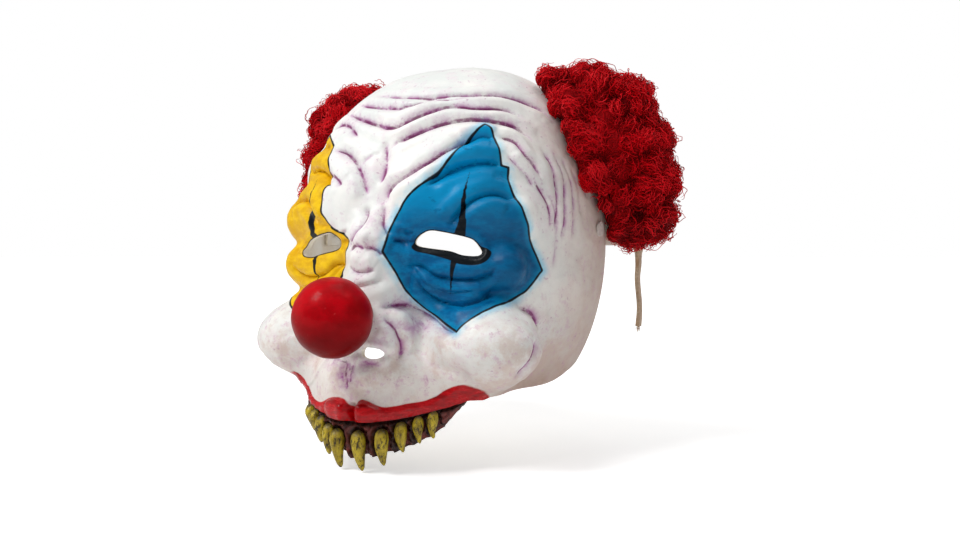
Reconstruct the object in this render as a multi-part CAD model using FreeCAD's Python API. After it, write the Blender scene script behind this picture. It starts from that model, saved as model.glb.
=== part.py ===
"""Latex clown half mask with hair tufts, fangs, a bulb nose and elastic head straps.

Frame: millimetres, origin on the plane of the rear rim, midway between the ears and
level with the eyes.  The face looks along -Y, +X is the wearer's left and +Z is up.
"""

import FreeCAD
import Part
import math
import os

V = FreeCAD.Vector

# ---- driving dimensions --------------------------------------------------------------
HEAD_HALF_WIDTH = 91.0      # middle of the head to the outside of the wall at the rim
HEAD_DEPTH = 95.0           # rim plane to the plain forehead, without sculpted form
CROWN_HEIGHT = 104.2        # eye level to the top of the crown
WALL = 2.3                  # latex thickness
BOND = 0.1                  # glue film between the latex and a part bonded to it
LOWER_EDGE_Z = -78.0        # level of the cut edge from the mouth corners back
CORNER_LENGTH = 32.0        # rounded rear corner of that edge, measured forward from the rim
CORNER_RISE = 14.5          # and upwards
LIP_DROP = 12.0             # how far the upper lip hangs below that edge in the middle
LIP_HALF_SPAN = 52.0        # middle of the mouth to its corner
MUZZLE_Y = -62.0            # centre of the round muzzle, seen from above
MUZZLE_RADIUS = 54.0

EYE_X = 40.3                # middle of the mask to the middle of an eye hole
EYE_Z = -0.8
EYE_HALF_WIDTH = 17.3
EYE_HALF_HEIGHT = 6.6
EYE_TILT = -3.0             # degrees; the outer corner sits lower than the inner one

NOSE_Y = -134.0             # centre of the ball
NOSE_Z = -36.5
NOSE_RADIUS = 20.5
NOSE_WALL = 1.8
NECK_RADIUS = 9.0
NECK_CLEARANCE = 0.15
NECK_BACK_Y = -101.0        # rear end of the neck, inside the face
FLANGE_RADIUS = 10.6        # lip that keeps the neck from pulling out
FLANGE_THICKNESS = 1.6
FOAM_GAP = 0.4

NOSTRIL_X = 9.5
NOSTRIL_Z = -55.5
NOSTRIL_HALF_WIDTH = 5.5
NOSTRIL_HALF_HEIGHT = 3.0

GUM_THICKNESS = 8.0
GUM_FRONT_RADIUS = 55.5     # muzzle centre to the front of the gum, below the lip
GUM_BOND = 0.25             # thicker bead of glue behind the lip
LIP_GAP = 0.4               # lower edge of the lip to the gum that stands out under it
GUM_HALF_SPAN = 45.5
GUM_TOP_Z = -74.0
GUM_MIDDLE_Z = -107.0       # lower edge of the gum in the middle
GUM_END_Z = -88.0           # lower edge of the gum at its ends
TOOTH_ARCH = 54.5           # muzzle centre to the tooth axes
TOOTH_ROOT = 1.2            # length of each tooth above its gum line
TOOTH_TIP_RADIUS = 0.6
SOCKET_CLEARANCE = 0.1
# each tooth: place across, level of its gum line, level of its tip, radius
TEETH_LEFT = (
    (5.0, -96.3, -114.6, 4.1),
    (17.2, -94.5, -111.1, 3.8),
    (26.0, -91.0, -104.0, 3.3),
    (33.2, -88.0, -99.6, 3.0),
    (38.6, -86.4, -97.3, 3.0),
)
TEETH_RIGHT = (
    (-8.3, -96.3, -114.6, 4.0),
    (-15.9, -94.5, -109.0, 3.4),
    (-22.6, -91.6, -104.2, 3.2),
    (-28.8, -89.0, -100.0, 3.1),
    (-34.6, -87.2, -98.0, 3.0),
)

BACKING_THICKNESS = 1.0     # net fabric that the hair is sewn to
PATCH_INNER_X = 20.0        # the hair patch ends well before the middle of the head
# front edge of the hair patch on the side of the head, as (y, z)
PATCH_EDGE = ((-3, 16), (-19, 24), (-29, 40), (-30, 58), (-20, 78), (-3, 92))
# locks that make up a tuft: centre and radius
LOCKS = (
    (64, -6, 87, 15), (80, 2, 83, 20), (98, 8, 76, 20), (104, 12, 55, 22),
    (107, 14, 34, 22), (104, 16, 17, 21), (113, 12, 15, 15), (76, -16, 74, 14),
    (84, -21, 56, 14), (90, -15, 38, 14), (96, -2, 24, 15), (86, 20, 74, 18),
    (96, 26, 44, 19),
)
TUFT_CLEARANCE = 0.3        # tuft to its backing
# middle line of a tuft, from its foot to its top
TUFT_SPINE = (
    (107, 14, -3), (106, 14, 8), (100, 6, 30), (98, 4, 50), (93, 2, 70), (80, 0, 88),
    (74, -2, 101),
)
TUFT_LEVELS = 22
TUFT_SPOKES = 28

EYELET_X = 98.4
EYELET_Y = 34.0
EYELET_Z = 8.0
EYELET_BORE = 3.4
EYELET_BARREL = 4.2
EYELET_FLANGE = 6.6
EYELET_LIP = 0.8
EYELET_GAP = 0.05
TAB_THICKNESS = 1.6
TAB_HALF_HEIGHT = 9.0
TAB_FRONT_Y = -20.0
TAB_ROOT_Y = -4.0           # front end of the free tail, inside the bonded part
TAB_BEND_Y = 2.4            # the tail bends outwards from here back
TAB_FLAT_Y = 25.0           # and is flat and upright again from here back
TAB_INSET = 1.2             # how much further in the tail starts than the wall
RIVET_Y = -10.0
RIVET_SHANK = 1.6
RIVET_GAP = 0.1
RIVET_HEAD = 4.0
RIVET_HEAD_HEIGHT = 1.2
RIVET_TAIL = 2.6
RIVET_TAIL_HEIGHT = 0.8
RIVET_TAIL_GAP = 0.05       # rivet's tail to the washer
WASHER_RADIUS = 3.5
WASHER_THICKNESS = 1.0
RIVET_SEAT_X = 91.1         # underside of the rivet's head
WASHER_SEAT_X = 85.7        # side of the washer that presses on the tab

BAND_WIDTH = 6.0            # flat elastic
BAND_THICKNESS = 1.2
BAND_DROP = 56.0            # eyelet to the free end
CURL_DROP = 27.0            # eyelet to the place where the lower half curls
LOOP_DROP = 15.0            # eyelet to the stitch that closes the loop
LEG_OFFSET = 2.6            # eyelet's middle to the middle of a loop leg
LINK_GAP = 2.6              # stretch of bare elastic at the curl
FAN_HALF_WIDTH = 5.5        # space left beside the swinging band
FAN_FRONT = 16.0            # and in front of the eyelet
STRAP_ROOM = 1.0            # space left over the tab and over the rivet's head
RIVET_ROOM = 6.0            # and in front of the rivet's middle

# ---- grid of directions in which the face surface is found -----------------------------
SIGHT_REAR_Y = 50.0         # the steepest directions start here, on the middle line
SIGHT_FRONT_Y = -40.0       # and the one straight ahead starts here
ACROSS = 65.5               # widest direction to either side, in degrees
UP = 68.0                   # steepest direction upwards
DOWN = 65.0                 # steepest direction downwards
COLUMNS = 64
ROWS = 72
FAR = 200.0
INNER_SIDE_X = 60.0         # inside the head, well short of its side wall
OUTER_SIDE_X = 120.0        # and well outside that wall
AHEAD_Y = -130.0            # in front of the face
BEHIND_EYE_Y = -40.0        # inside the head, behind the wall round an eye hole
BEHIND_NOSTRIL_Y = -80.0    # and behind the wall round a nostril


# ---- form of the face ------------------------------------------------------------------
def blend(a, b, size):
    """Smooth union of two distances."""
    overlap = max(size - abs(a - b), 0.0) / size
    return min(a, b) - overlap * overlap * size / 4.0


def ellipsoid(x, y, z, centre, radii):
    """Distance to an ellipsoid, near its surface."""
    px, py, pz = x - centre[0], y - centre[1], z - centre[2]
    a, b, c = radii
    near = math.sqrt((px / a) ** 2 + (py / b) ** 2 + (pz / c) ** 2)
    slope = math.sqrt((px / a / a) ** 2 + (py / b / b) ** 2 + (pz / c / c) ** 2)
    return near * (near - 1.0) / max(slope, 1e-9)


def roll(x, y, z, start, end, start_radius, end_radius):
    """Distance to a roll of skin with round ends."""
    ex, ey, ez = end[0] - start[0], end[1] - start[1], end[2] - start[2]
    px, py, pz = x - start[0], y - start[1], z - start[2]
    along = (px * ex + py * ey + pz * ez) / (ex * ex + ey * ey + ez * ez)
    along = min(max(along, 0.0), 1.0)
    gap = math.sqrt((px - along * ex) ** 2 + (py - along * ey) ** 2 + (pz - along * ez) ** 2)
    return gap - start_radius - along * (end_radius - start_radius)


def skull(x, y, z):
    """Distance to the plain head, which runs straight back behind the rim plane."""
    level = (x / HEAD_HALF_WIDTH) ** 2.5 + (max(-y, 0.0) / HEAD_DEPTH) ** 2.2
    level += (abs(z) / CROWN_HEIGHT) ** 2
    return (level ** (1 / 2.2) - 1.0) * 90.0


def muzzle(x, y, z):
    """Distance to the round upright muzzle above the mouth."""
    rounding = 14.0
    out = math.hypot(x, y - MUZZLE_Y) - (MUZZLE_RADIUS - rounding)
    high = abs(z + 89.0) - 19.0
    outside = math.hypot(max(out, 0.0), max(high, 0.0))
    return outside + min(max(out, high), 0.0) - rounding


def face(x, y, z):
    """Distance to the outside of the mask, negative inside it."""
    x = abs(x)
    d = skull(x, y, z)
    d = blend(d, muzzle(x, y, z), 22.0)
    d = blend(d, ellipsoid(x, y, z, (60, -80, -53), (25, 24, 20.5)), 20.0)
    d = blend(d, roll(x, y, z, (0, -95, 0), (0, -100, -36), 12.0, 14.0), 16.0)
    d = blend(d, ellipsoid(x, y, z, (11, -99, -48), (10, 12, 11)), 12.0)
    d = blend(d, ellipsoid(x, y, z, (19, -83, 23), (13, 14, 15)), 10.0)
    d = blend(d, roll(x, y, z, (28, -82, 24), (67, -67, 14), 9.5, 11.5), 9.0)
    d = blend(d, roll(x, y, z, (34, -74, 45), (60, -58, 42), 9.0, 7.0), 9.0)
    d = blend(d, roll(x, y, z, (24, -86, -17), (65, -72, -12), 6.5, 10.5), 6.0)
    return d


def surface_point(i, j):
    """Point of the face surface in one direction of the grid."""
    side = math.tan(math.radians(ACROSS * (2.0 * i / COLUMNS - 1.0)))
    rise = math.tan(math.radians((UP + DOWN) * j / ROWS - DOWN))
    slope = math.hypot(side, rise)
    turn = math.degrees(math.atan(slope)) / ACROSS
    start_y = SIGHT_FRONT_Y + (SIGHT_REAR_Y - SIGHT_FRONT_Y) * turn ** 3
    inside, outside = 20.0, 280.0
    for _ in range(34):
        reach = (inside + outside) / 2.0
        step = reach / math.hypot(1.0, slope)
        if face(side * step, start_y - step, rise * step) < 0.0:
            inside = reach
        else:
            outside = reach
    return V(side * step, start_y - step, rise * step)


def outer_grid():
    """Grid of points on the right half of the face and their mirror images."""
    half = [[surface_point(i, j) for j in range(ROWS + 1)] for i in range(COLUMNS // 2 + 1)]
    mirrored = [[V(-p.x, p.y, p.z) for p in row] for row in half[:-1]]
    return half + mirrored[::-1]


def grid_surface(grid):
    surface = Part.BSplineSurface()
    surface.interpolate(grid)
    return surface


def outward_normals(grid):
    """Unit normals at the grid points, from their neighbours."""
    normals = []
    last_i, last_j = len(grid) - 1, len(grid[0]) - 1
    for i in range(last_i + 1):
        row = []
        for j in range(last_j + 1):
            across = grid[min(i + 1, last_i)][j] - grid[max(i - 1, 0)][j]
            upward = grid[i][min(j + 1, last_j)] - grid[i][max(j - 1, 0)]
            row.append(across.cross(upward).normalize())
        normals.append(row)
    return normals


def offset_grid(grid, normals, distance):
    return [[p + n * distance for p, n in zip(row, side)] for row, side in zip(grid, normals)]


def layer(outer, inner):
    """Closed solid between two grids of the same size."""
    outer_surface, inner_surface = grid_surface(outer), grid_surface(inner)
    faces = [outer_surface.toShape(), inner_surface.toShape()]
    for outer_edge, inner_edge in zip(faces[0].Edges, faces[1].Edges):
        faces.append(Part.makeRuledSurface(outer_edge, inner_edge))
    shell = Part.makeShell(faces)
    shell.sewShape()
    solid = Part.makeSolid(Part.makeShell(shell.Faces))
    if solid.Volume < 0:
        solid.reverse()
    return solid


class Head:
    """The face surface and the layers that follow it."""

    def __init__(self):
        self.grid = outer_grid()
        self.normals = outward_normals(self.grid)

    def skin(self, inner, outer):
        """Layer between two distances from the outside of the mask."""
        return layer(
            offset_grid(self.grid, self.normals, outer),
            offset_grid(self.grid, self.normals, inner),
        )


# ---- small helpers ---------------------------------------------------------------------
def box(low, high):
    return Part.makeBox(high[0] - low[0], high[1] - low[1], high[2] - low[2], V(*low))


def disc(radius, start_x, end_x, y, z):
    """Cylinder along X."""
    return Part.makeCylinder(radius, end_x - start_x, V(start_x, y, z), V(1, 0, 0))


def below_arch(half_span, end_z, middle_z):
    """Everything under an edge that sags between two ends and is level beyond them."""
    left, right = V(-half_span, 0, end_z), V(half_span, 0, end_z)
    arch = Part.Arc(left, V(0, 0, middle_z), right).toShape()
    corners = [right, V(FAR, 0, end_z), V(FAR, 0, -FAR), V(-FAR, 0, -FAR), V(-FAR, 0, end_z), left]
    lines = [Part.makeLine(a, b) for a, b in zip(corners, corners[1:])]
    outline = Part.Face(Part.Wire(Part.__sortEdges__([arch] + lines)))
    outline.translate(V(0, -FAR, 0))
    return outline.extrude(V(0, 2 * FAR, 0))


def rear_corners():
    """What the rounding of the rear corners takes off the shell."""
    top_z = LOWER_EDGE_Z + CORNER_RISE
    ring = Part.Ellipse(V(0, 0, 0), CORNER_LENGTH + 1, CORNER_RISE).toShape()
    bar = Part.Face(Part.Wire([ring])).extrude(V(0, 0, 2 * FAR))
    bar.rotate(V(0, 0, 0), V(0, 0, 1), 90)
    bar.rotate(V(0, 0, 0), V(0, 1, 0), 90)
    bar.translate(V(-FAR, -CORNER_LENGTH, top_z))
    return box((-FAR, -CORNER_LENGTH, -FAR), (FAR, FAR, top_z)).cut(bar)


def oval_hole(x, z, half_width, half_height, tilt, front_y, rear_y):
    """Oval bar along Y."""
    ring = Part.Ellipse(V(0, 0, 0), half_width, half_height).toShape()
    bar = Part.Face(Part.Wire([ring])).extrude(V(0, 0, rear_y - front_y))
    bar.rotate(V(0, 0, 0), V(1, 0, 0), -90)
    bar.rotate(V(0, 0, 0), V(0, 1, 0), -tilt)
    bar.translate(V(x, front_y, z))
    return bar


def mirrored(shape):
    return shape.mirror(V(0, 0, 0), V(1, 0, 0))


# ---- latex shell, nose -------------------------------------------------------------------
def face_shell(head):
    shell = head.skin(-WALL, 0.0)
    shell = shell.cut(box((-FAR, 0, -FAR), (FAR, FAR, FAR)))
    shell = shell.cut(below_arch(LIP_HALF_SPAN, LOWER_EDGE_Z, LOWER_EDGE_Z - LIP_DROP))
    shell = shell.cut(rear_corners())
    neck = Part.makeCylinder(
        NECK_RADIUS + NECK_CLEARANCE, 60, V(0, NOSE_Y, NOSE_Z), V(0, 1, 0)
    )
    holes = [neck]
    eye = (EYE_HALF_WIDTH, EYE_HALF_HEIGHT)
    nostril = (NOSTRIL_HALF_WIDTH, NOSTRIL_HALF_HEIGHT)
    rivet_hole = disc(RIVET_SHANK + RIVET_GAP, INNER_SIDE_X, OUTER_SIDE_X, RIVET_Y, EYELET_Z)
    for side in (1, -1):
        holes.append(oval_hole(side * EYE_X, EYE_Z, *eye, side * EYE_TILT, AHEAD_Y, BEHIND_EYE_Y))
        holes.append(oval_hole(side * NOSTRIL_X, NOSTRIL_Z, *nostril, 0.0, AHEAD_Y, BEHIND_NOSTRIL_Y))
    holes += [rivet_hole, mirrored(rivet_hole)]
    for hole in holes:
        shell = shell.cut(hole)
    return shell


def nose_ball():
    centre = V(0, NOSE_Y, NOSE_Z)
    neck_length = NECK_BACK_Y - NOSE_Y
    outside = Part.makeSphere(NOSE_RADIUS, centre)
    outside = outside.fuse(Part.makeCylinder(NECK_RADIUS, neck_length, centre, V(0, 1, 0)))
    flange_at = V(0, NECK_BACK_Y - FLANGE_THICKNESS, NOSE_Z)
    outside = outside.fuse(Part.makeCylinder(FLANGE_RADIUS, FLANGE_THICKNESS, flange_at, V(0, 1, 0)))
    hollow = Part.makeSphere(NOSE_RADIUS - NOSE_WALL, centre)
    bore = Part.makeCylinder(NECK_RADIUS - NOSE_WALL, neck_length + 5, centre, V(0, 1, 0))
    return outside.cut(hollow.fuse(bore))


def nose_foam_core():
    return Part.makeSphere(NOSE_RADIUS - NOSE_WALL - FOAM_GAP, V(0, NOSE_Y, NOSE_Z))


# ---- gum and teeth -------------------------------------------------------------------------
def tooth(place, clearance):
    """Upright fang: straight root, swelling crown and blunt tip."""
    x, gum_z, tip_z, radius = place
    radius += clearance
    length = gum_z - tip_z
    root_z = gum_z + TOOTH_ROOT + clearance
    y = MUZZLE_Y - math.sqrt(TOOTH_ARCH ** 2 - x ** 2)
    flank = Part.BSplineCurve()
    flank.interpolate([
        V(radius * 0.9, 0, gum_z),
        V(radius, 0, gum_z - 0.25 * length),
        V(radius * 0.72, 0, gum_z - 0.62 * length),
        V(TOOTH_TIP_RADIUS + clearance, 0, tip_z),
    ])
    corners = [
        V(TOOTH_TIP_RADIUS + clearance, 0, tip_z),
        V(0, 0, tip_z),
        V(0, 0, root_z),
        V(radius * 0.9, 0, root_z),
        V(radius * 0.9, 0, gum_z),
    ]
    lines = [Part.makeLine(a, b) for a, b in zip(corners, corners[1:])]
    outline = Part.Face(Part.Wire(Part.__sortEdges__([flank.toShape()] + lines)))
    fang = outline.revolve(V(0, 0, 0), V(0, 0, 1), 360)
    fang.translate(V(x, y, 0))
    return fang


def gum_arch():
    """Arch bonded behind the lip, which stands further forward below it."""
    bonded_radius = MUZZLE_RADIUS - WALL - GUM_BOND
    inner_radius = bonded_radius - GUM_THICKNESS
    height = GUM_TOP_Z - GUM_MIDDLE_Z
    foot = V(0, MUZZLE_Y, GUM_MIDDLE_Z)
    lip_edge_z = LOWER_EDGE_Z - LIP_GAP
    below_lip = below_arch(LIP_HALF_SPAN, lip_edge_z, lip_edge_z - LIP_DROP)
    arch = Part.makeCylinder(GUM_FRONT_RADIUS, height, foot).common(below_lip)
    arch = arch.fuse(Part.makeCylinder(bonded_radius, height, foot))
    arch = arch.cut(Part.makeCylinder(inner_radius, height, foot))
    reach = bonded_radius - GUM_THICKNESS / 2
    rear_y = MUZZLE_Y - math.sqrt(reach ** 2 - GUM_HALF_SPAN ** 2)
    arch = arch.common(box((-FAR, -FAR, -FAR), (FAR, rear_y, FAR)))
    arch = arch.cut(below_arch(GUM_HALF_SPAN, GUM_END_Z, GUM_MIDDLE_Z))
    for place in TEETH_LEFT + TEETH_RIGHT:
        arch = arch.cut(tooth(place, SOCKET_CLEARANCE))
    return arch


# ---- hair --------------------------------------------------------------------------------
def hair_backing(head):
    """Patch of net bonded to the side of the head."""
    edge = Part.BSplineCurve()
    edge.interpolate([V(PATCH_INNER_X, y, z) for y, z in PATCH_EDGE])
    rear = Part.makeLine(V(PATCH_INNER_X, *PATCH_EDGE[-1]), V(PATCH_INNER_X, *PATCH_EDGE[0]))
    outline = Part.Face(Part.Wire([edge.toShape(), rear]))
    patch = outline.extrude(V(OUTER_SIDE_X - PATCH_INNER_X, 0, 0))
    return head.skin(BOND, BOND + BACKING_THICKNESS).common(patch)


def head_prism(growth):
    """Prism along Y that holds the whole head, grown outwards."""
    points = []
    steps = 24
    for i in range(steps):
        turn = 2 * math.pi * i / steps
        c, s = math.cos(turn), math.sin(turn)
        x = math.copysign(abs(c) ** (2 / 2.5), c) * (HEAD_HALF_WIDTH + growth)
        points.append(V(x, -60, s * (CROWN_HEIGHT + growth)))
    ring = Part.BSplineCurve()
    ring.interpolate(points, PeriodicFlag=True)
    return Part.Face(Part.Wire([ring.toShape()])).extrude(V(0, 130, 0))


def hair_mass(x, y, z):
    """Distance to the outside of the mass of locks."""
    d = FAR
    for cx, cy, cz, radius in LOCKS:
        d = blend(d, math.dist((x, y, z), (cx, cy, cz)) - radius, 8.0)
    return d


def spine_point(z):
    """Middle of the tuft at a level, on straight lines between the named points."""
    for low, high in zip(TUFT_SPINE, TUFT_SPINE[1:]):
        if z <= high[2]:
            break
    share = (z - low[2]) / (high[2] - low[2])
    return low[0] + share * (high[0] - low[0]), low[1] + share * (high[1] - low[1])


def hair_section(z):
    """Closed outline of the tuft at a level."""
    cx, cy = spine_point(z)
    points = []
    for i in range(TUFT_SPOKES):
        turn = 2 * math.pi * i / TUFT_SPOKES
        inside, outside = 2.0, 60.0
        for _ in range(20):
            reach = (inside + outside) / 2.0
            if hair_mass(cx + reach * math.cos(turn), cy + reach * math.sin(turn), z) < 0.0:
                inside = reach
            else:
                outside = reach
        points.append(V(cx + reach * math.cos(turn), cy + reach * math.sin(turn), z))
    ring = Part.BSplineCurve()
    ring.interpolate(points, PeriodicFlag=True)
    return Part.Wire([ring.toShape()])


def strap_space():
    """Room for the rivet's head, the tab and the swinging band, seen from above."""
    top_z = EYELET_Z + TAB_HALF_HEIGHT + STRAP_ROOM
    front_y = RIVET_Y - RIVET_ROOM
    rivet_x = RIVET_SEAT_X + RIVET_HEAD_HEIGHT + STRAP_ROOM
    fan_x = EYELET_X + FAN_HALF_WIDTH
    fan_y = EYELET_Y - FAN_FRONT
    front = [(INNER_SIDE_X, front_y), (rivet_x, front_y), (rivet_x, 0)]
    rear = [(fan_x, fan_y), (fan_x, FAR), (INNER_SIDE_X, FAR)]
    points = [V(x, y, -FAR) for x, y in front + rear]
    return Part.Face(Part.makePolygon(points + points[:1])).extrude(V(0, 0, FAR + top_z))


def hair_tuft():
    """Mass of curls that stands out from the side of the head, round the strap tab."""
    growth = BOND + BACKING_THICKNESS + TUFT_CLEARANCE
    low_z, high_z = TUFT_SPINE[0][2], TUFT_SPINE[-1][2]
    levels = [low_z + (high_z - low_z) * i / TUFT_LEVELS for i in range(TUFT_LEVELS + 1)]
    tuft = Part.makeLoft([hair_section(z) for z in levels], True)
    tuft = tuft.cut(head_prism(growth))
    return tuft.cut(strap_space())


# ---- strap tab and its fasteners -------------------------------------------------------------
def strap_tab(head):
    """Latex tab bonded inside the wall; it flares outwards behind the rim."""
    outer = -WALL - BOND
    low_z, high_z = EYELET_Z - TAB_HALF_HEIGHT, EYELET_Z + TAB_HALF_HEIGHT
    bonded = head.skin(outer - TAB_THICKNESS, outer)
    bonded = bonded.common(box((INNER_SIDE_X, TAB_FRONT_Y, low_z), (FAR, -BOND, high_z)))
    start_x = HEAD_HALF_WIDTH + outer - TAB_INSET
    end_x = EYELET_X + TAB_THICKNESS / 2
    end_y = EYELET_Y + TAB_HALF_HEIGHT + 1
    edges = []
    for shift in (0.0, -TAB_THICKNESS):
        front_x, rear_x = start_x + shift, end_x + shift
        bend = Part.BSplineCurve()
        bend.interpolate(
            Points=[V(front_x, TAB_BEND_Y, low_z), V(rear_x, TAB_FLAT_Y, low_z)],
            InitialTangent=V(0, 1, 0),
            FinalTangent=V(0, 1, 0),
        )
        edges.append(bend.toShape())
        edges.append(Part.makeLine(V(front_x, TAB_ROOT_Y, low_z), V(front_x, TAB_BEND_Y, low_z)))
        edges.append(Part.makeLine(V(rear_x, TAB_FLAT_Y, low_z), V(rear_x, end_y, low_z)))
    for x, y in ((start_x, TAB_ROOT_Y), (end_x, end_y)):
        edges.append(Part.makeLine(V(x, y, low_z), V(x - TAB_THICKNESS, y, low_z)))
    outline = Part.Face(Part.Wire(Part.__sortEdges__(edges)))
    tail = outline.extrude(V(0, 0, high_z - low_z))
    reach = box((INNER_SIDE_X, -FAR, low_z), (OUTER_SIDE_X, EYELET_Y, high_z))
    tail = tail.common(reach.fuse(disc(TAB_HALF_HEIGHT, INNER_SIDE_X, OUTER_SIDE_X, EYELET_Y, EYELET_Z)))
    tab = bonded.fuse(tail)
    tab = tab.cut(disc(EYELET_BARREL + EYELET_GAP, INNER_SIDE_X, OUTER_SIDE_X, EYELET_Y, EYELET_Z))
    return tab.cut(disc(RIVET_SHANK + RIVET_GAP, INNER_SIDE_X, OUTER_SIDE_X, RIVET_Y, EYELET_Z))


def strap_eyelet():
    half = TAB_THICKNESS / 2 + EYELET_GAP
    place = (EYELET_Y, EYELET_Z)
    eyelet = disc(EYELET_BARREL, EYELET_X - half, EYELET_X + half, *place)
    for start_x in (EYELET_X - half - EYELET_LIP, EYELET_X + half):
        eyelet = eyelet.fuse(disc(EYELET_FLANGE, start_x, start_x + EYELET_LIP, *place))
    return eyelet.cut(disc(EYELET_BORE, INNER_SIDE_X, OUTER_SIDE_X, *place))


def tab_rivet():
    place = (RIVET_Y, EYELET_Z)
    tail_x = WASHER_SEAT_X - WASHER_THICKNESS - RIVET_TAIL_HEIGHT
    rivet = disc(RIVET_SHANK, tail_x, RIVET_SEAT_X, *place)
    rivet = rivet.fuse(disc(RIVET_HEAD, RIVET_SEAT_X, RIVET_SEAT_X + RIVET_HEAD_HEIGHT, *place))
    return rivet.fuse(disc(RIVET_TAIL, tail_x, tail_x + RIVET_TAIL_HEIGHT - RIVET_TAIL_GAP, *place))


def rivet_washer():
    place = (RIVET_Y, EYELET_Z)
    washer = disc(WASHER_RADIUS, WASHER_SEAT_X - WASHER_THICKNESS, WASHER_SEAT_X, *place)
    return washer.cut(disc(RIVET_SHANK + RIVET_GAP, INNER_SIDE_X, OUTER_SIDE_X, *place))


# ---- elastic ------------------------------------------------------------------------------
def band(outline):
    """Flat elastic of the band's width from a closed outline in the XZ plane."""
    front = V(EYELET_X, EYELET_Y - BAND_WIDTH / 2, EYELET_Z)
    corners = [front + V(x, 0, z) for x, z in outline]
    return Part.Face(Part.makePolygon(corners + corners[:1])).extrude(V(0, BAND_WIDTH, 0))


def strap_upper():
    """Loop through the eyelet, with both layers stitched together below it."""
    t = BAND_THICKNESS
    out, top = LEG_OFFSET + t / 2, t / 2
    neck, end = -LOOP_DROP, LINK_GAP / 2 - CURL_DROP
    outside = band([
        (-out, top), (out, top), (out, neck + 5), (t, neck), (t, end), (-t, end), (-t, neck),
        (-out, neck + 5),
    ])
    inside = band([
        (t - out, top - t), (out - t, top - t), (out - t, neck + 5.5), (0, neck + 1),
        (t - out, neck + 5.5),
    ])
    return outside.cut(inside)


def strap_lower():
    """Free end of the folded elastic."""
    t = BAND_THICKNESS
    start, end = -CURL_DROP - LINK_GAP / 2, -BAND_DROP
    return band([(-t, start), (t, start), (t, end), (-t, end)])


def add_sided(parts, name, shape):
    parts[name + "_left"] = shape
    parts[name + "_right"] = mirrored(shape)


def main():
    head = Head()
    parts = {
        "face_shell": face_shell(head),
        "nose_ball": nose_ball(),
        "nose_foam_core": nose_foam_core(),
        "gum_arch": gum_arch(),
    }
    for side, teeth in (("left", TEETH_LEFT), ("right", TEETH_RIGHT)):
        for number, place in enumerate(teeth, start=1):
            parts["tooth_%s_%d" % (side, number)] = tooth(place, 0.0)
    add_sided(parts, "hair_backing", hair_backing(head))
    add_sided(parts, "hair_tuft", hair_tuft())
    add_sided(parts, "strap_tab", strap_tab(head))
    add_sided(parts, "strap_eyelet", strap_eyelet())
    add_sided(parts, "tab_rivet", tab_rivet())
    add_sided(parts, "rivet_washer", rivet_washer())
    add_sided(parts, "strap_upper", strap_upper())
    add_sided(parts, "strap_lower", strap_lower())
    os.makedirs("parts", exist_ok=True)
    for name, shape in parts.items():
        shape.exportStep("parts/%s.step" % name)
        print(name, len(shape.Solids), round(shape.Volume, 1), shape.isValid())


main()
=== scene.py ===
"""Looks of the latex clown half mask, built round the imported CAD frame.

Lengths are in millimetres until a mesh is made, in the frame of the CAD part: the rear rim
lies in the plane y = 0, the face looks along -Y, +X is the wearer's left and +Z is up.
"""

import math

import bpy
import numpy as np
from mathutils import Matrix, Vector


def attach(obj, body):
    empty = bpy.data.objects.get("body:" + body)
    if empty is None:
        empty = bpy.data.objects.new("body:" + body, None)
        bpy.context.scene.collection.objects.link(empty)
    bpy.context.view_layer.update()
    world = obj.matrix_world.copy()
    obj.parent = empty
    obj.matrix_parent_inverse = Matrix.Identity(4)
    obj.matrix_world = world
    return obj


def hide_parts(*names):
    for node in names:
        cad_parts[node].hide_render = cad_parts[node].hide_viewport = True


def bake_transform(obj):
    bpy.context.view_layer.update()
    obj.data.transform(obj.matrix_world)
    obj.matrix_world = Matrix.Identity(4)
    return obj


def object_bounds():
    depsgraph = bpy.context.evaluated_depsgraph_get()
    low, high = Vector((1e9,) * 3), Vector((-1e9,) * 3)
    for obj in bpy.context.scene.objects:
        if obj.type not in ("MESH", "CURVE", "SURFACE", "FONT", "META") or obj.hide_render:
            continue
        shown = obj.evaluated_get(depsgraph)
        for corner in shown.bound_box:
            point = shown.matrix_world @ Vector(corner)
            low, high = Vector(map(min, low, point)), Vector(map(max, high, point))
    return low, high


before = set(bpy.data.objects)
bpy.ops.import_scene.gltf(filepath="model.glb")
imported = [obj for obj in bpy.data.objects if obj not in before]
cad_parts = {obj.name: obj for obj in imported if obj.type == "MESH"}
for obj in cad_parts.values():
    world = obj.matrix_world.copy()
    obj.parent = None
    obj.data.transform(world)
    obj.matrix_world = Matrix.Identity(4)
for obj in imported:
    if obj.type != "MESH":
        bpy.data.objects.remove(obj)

CAD_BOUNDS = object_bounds()
MM = 0.001

# ---- sizes shared with the CAD part ----
HALF_WIDTH, DEPTH, CROWN = 91.0, 95.0, 104.2
WALL = 2.3
LOWER_EDGE_Z, LIP_DROP, LIP_HALF_SPAN = -78.0, 12.0, 52.0
CORNER_LENGTH, CORNER_RISE = 32.0, 14.5
MUZZLE_Y, MUZZLE_RADIUS = -62.0, 54.0
NOSE = np.array([0.0, -134.0, -36.5])
NOSE_RADIUS, NECK_RADIUS = 20.5, 9.0
NOSTRIL = (9.0, -55.5, 6.5, 3.0)
GUM_FRONT_RADIUS, TOOTH_ARCH = 55.5, 54.5
EYELET = np.array([98.4, 34.0, 8.0])
PITCH = 0.9                 # spacing of the skin's mesh
AXIS_Y = -20.0              # upright axis inside the head, for places round it
SIDES = ((1, "left"), (-1, "right"))


# ---- form of the face ----
def blend(a, b, size):
    overlap = np.maximum(size - np.abs(a - b), 0.0) / size
    return np.minimum(a, b) - overlap * overlap * size / 4.0


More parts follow.
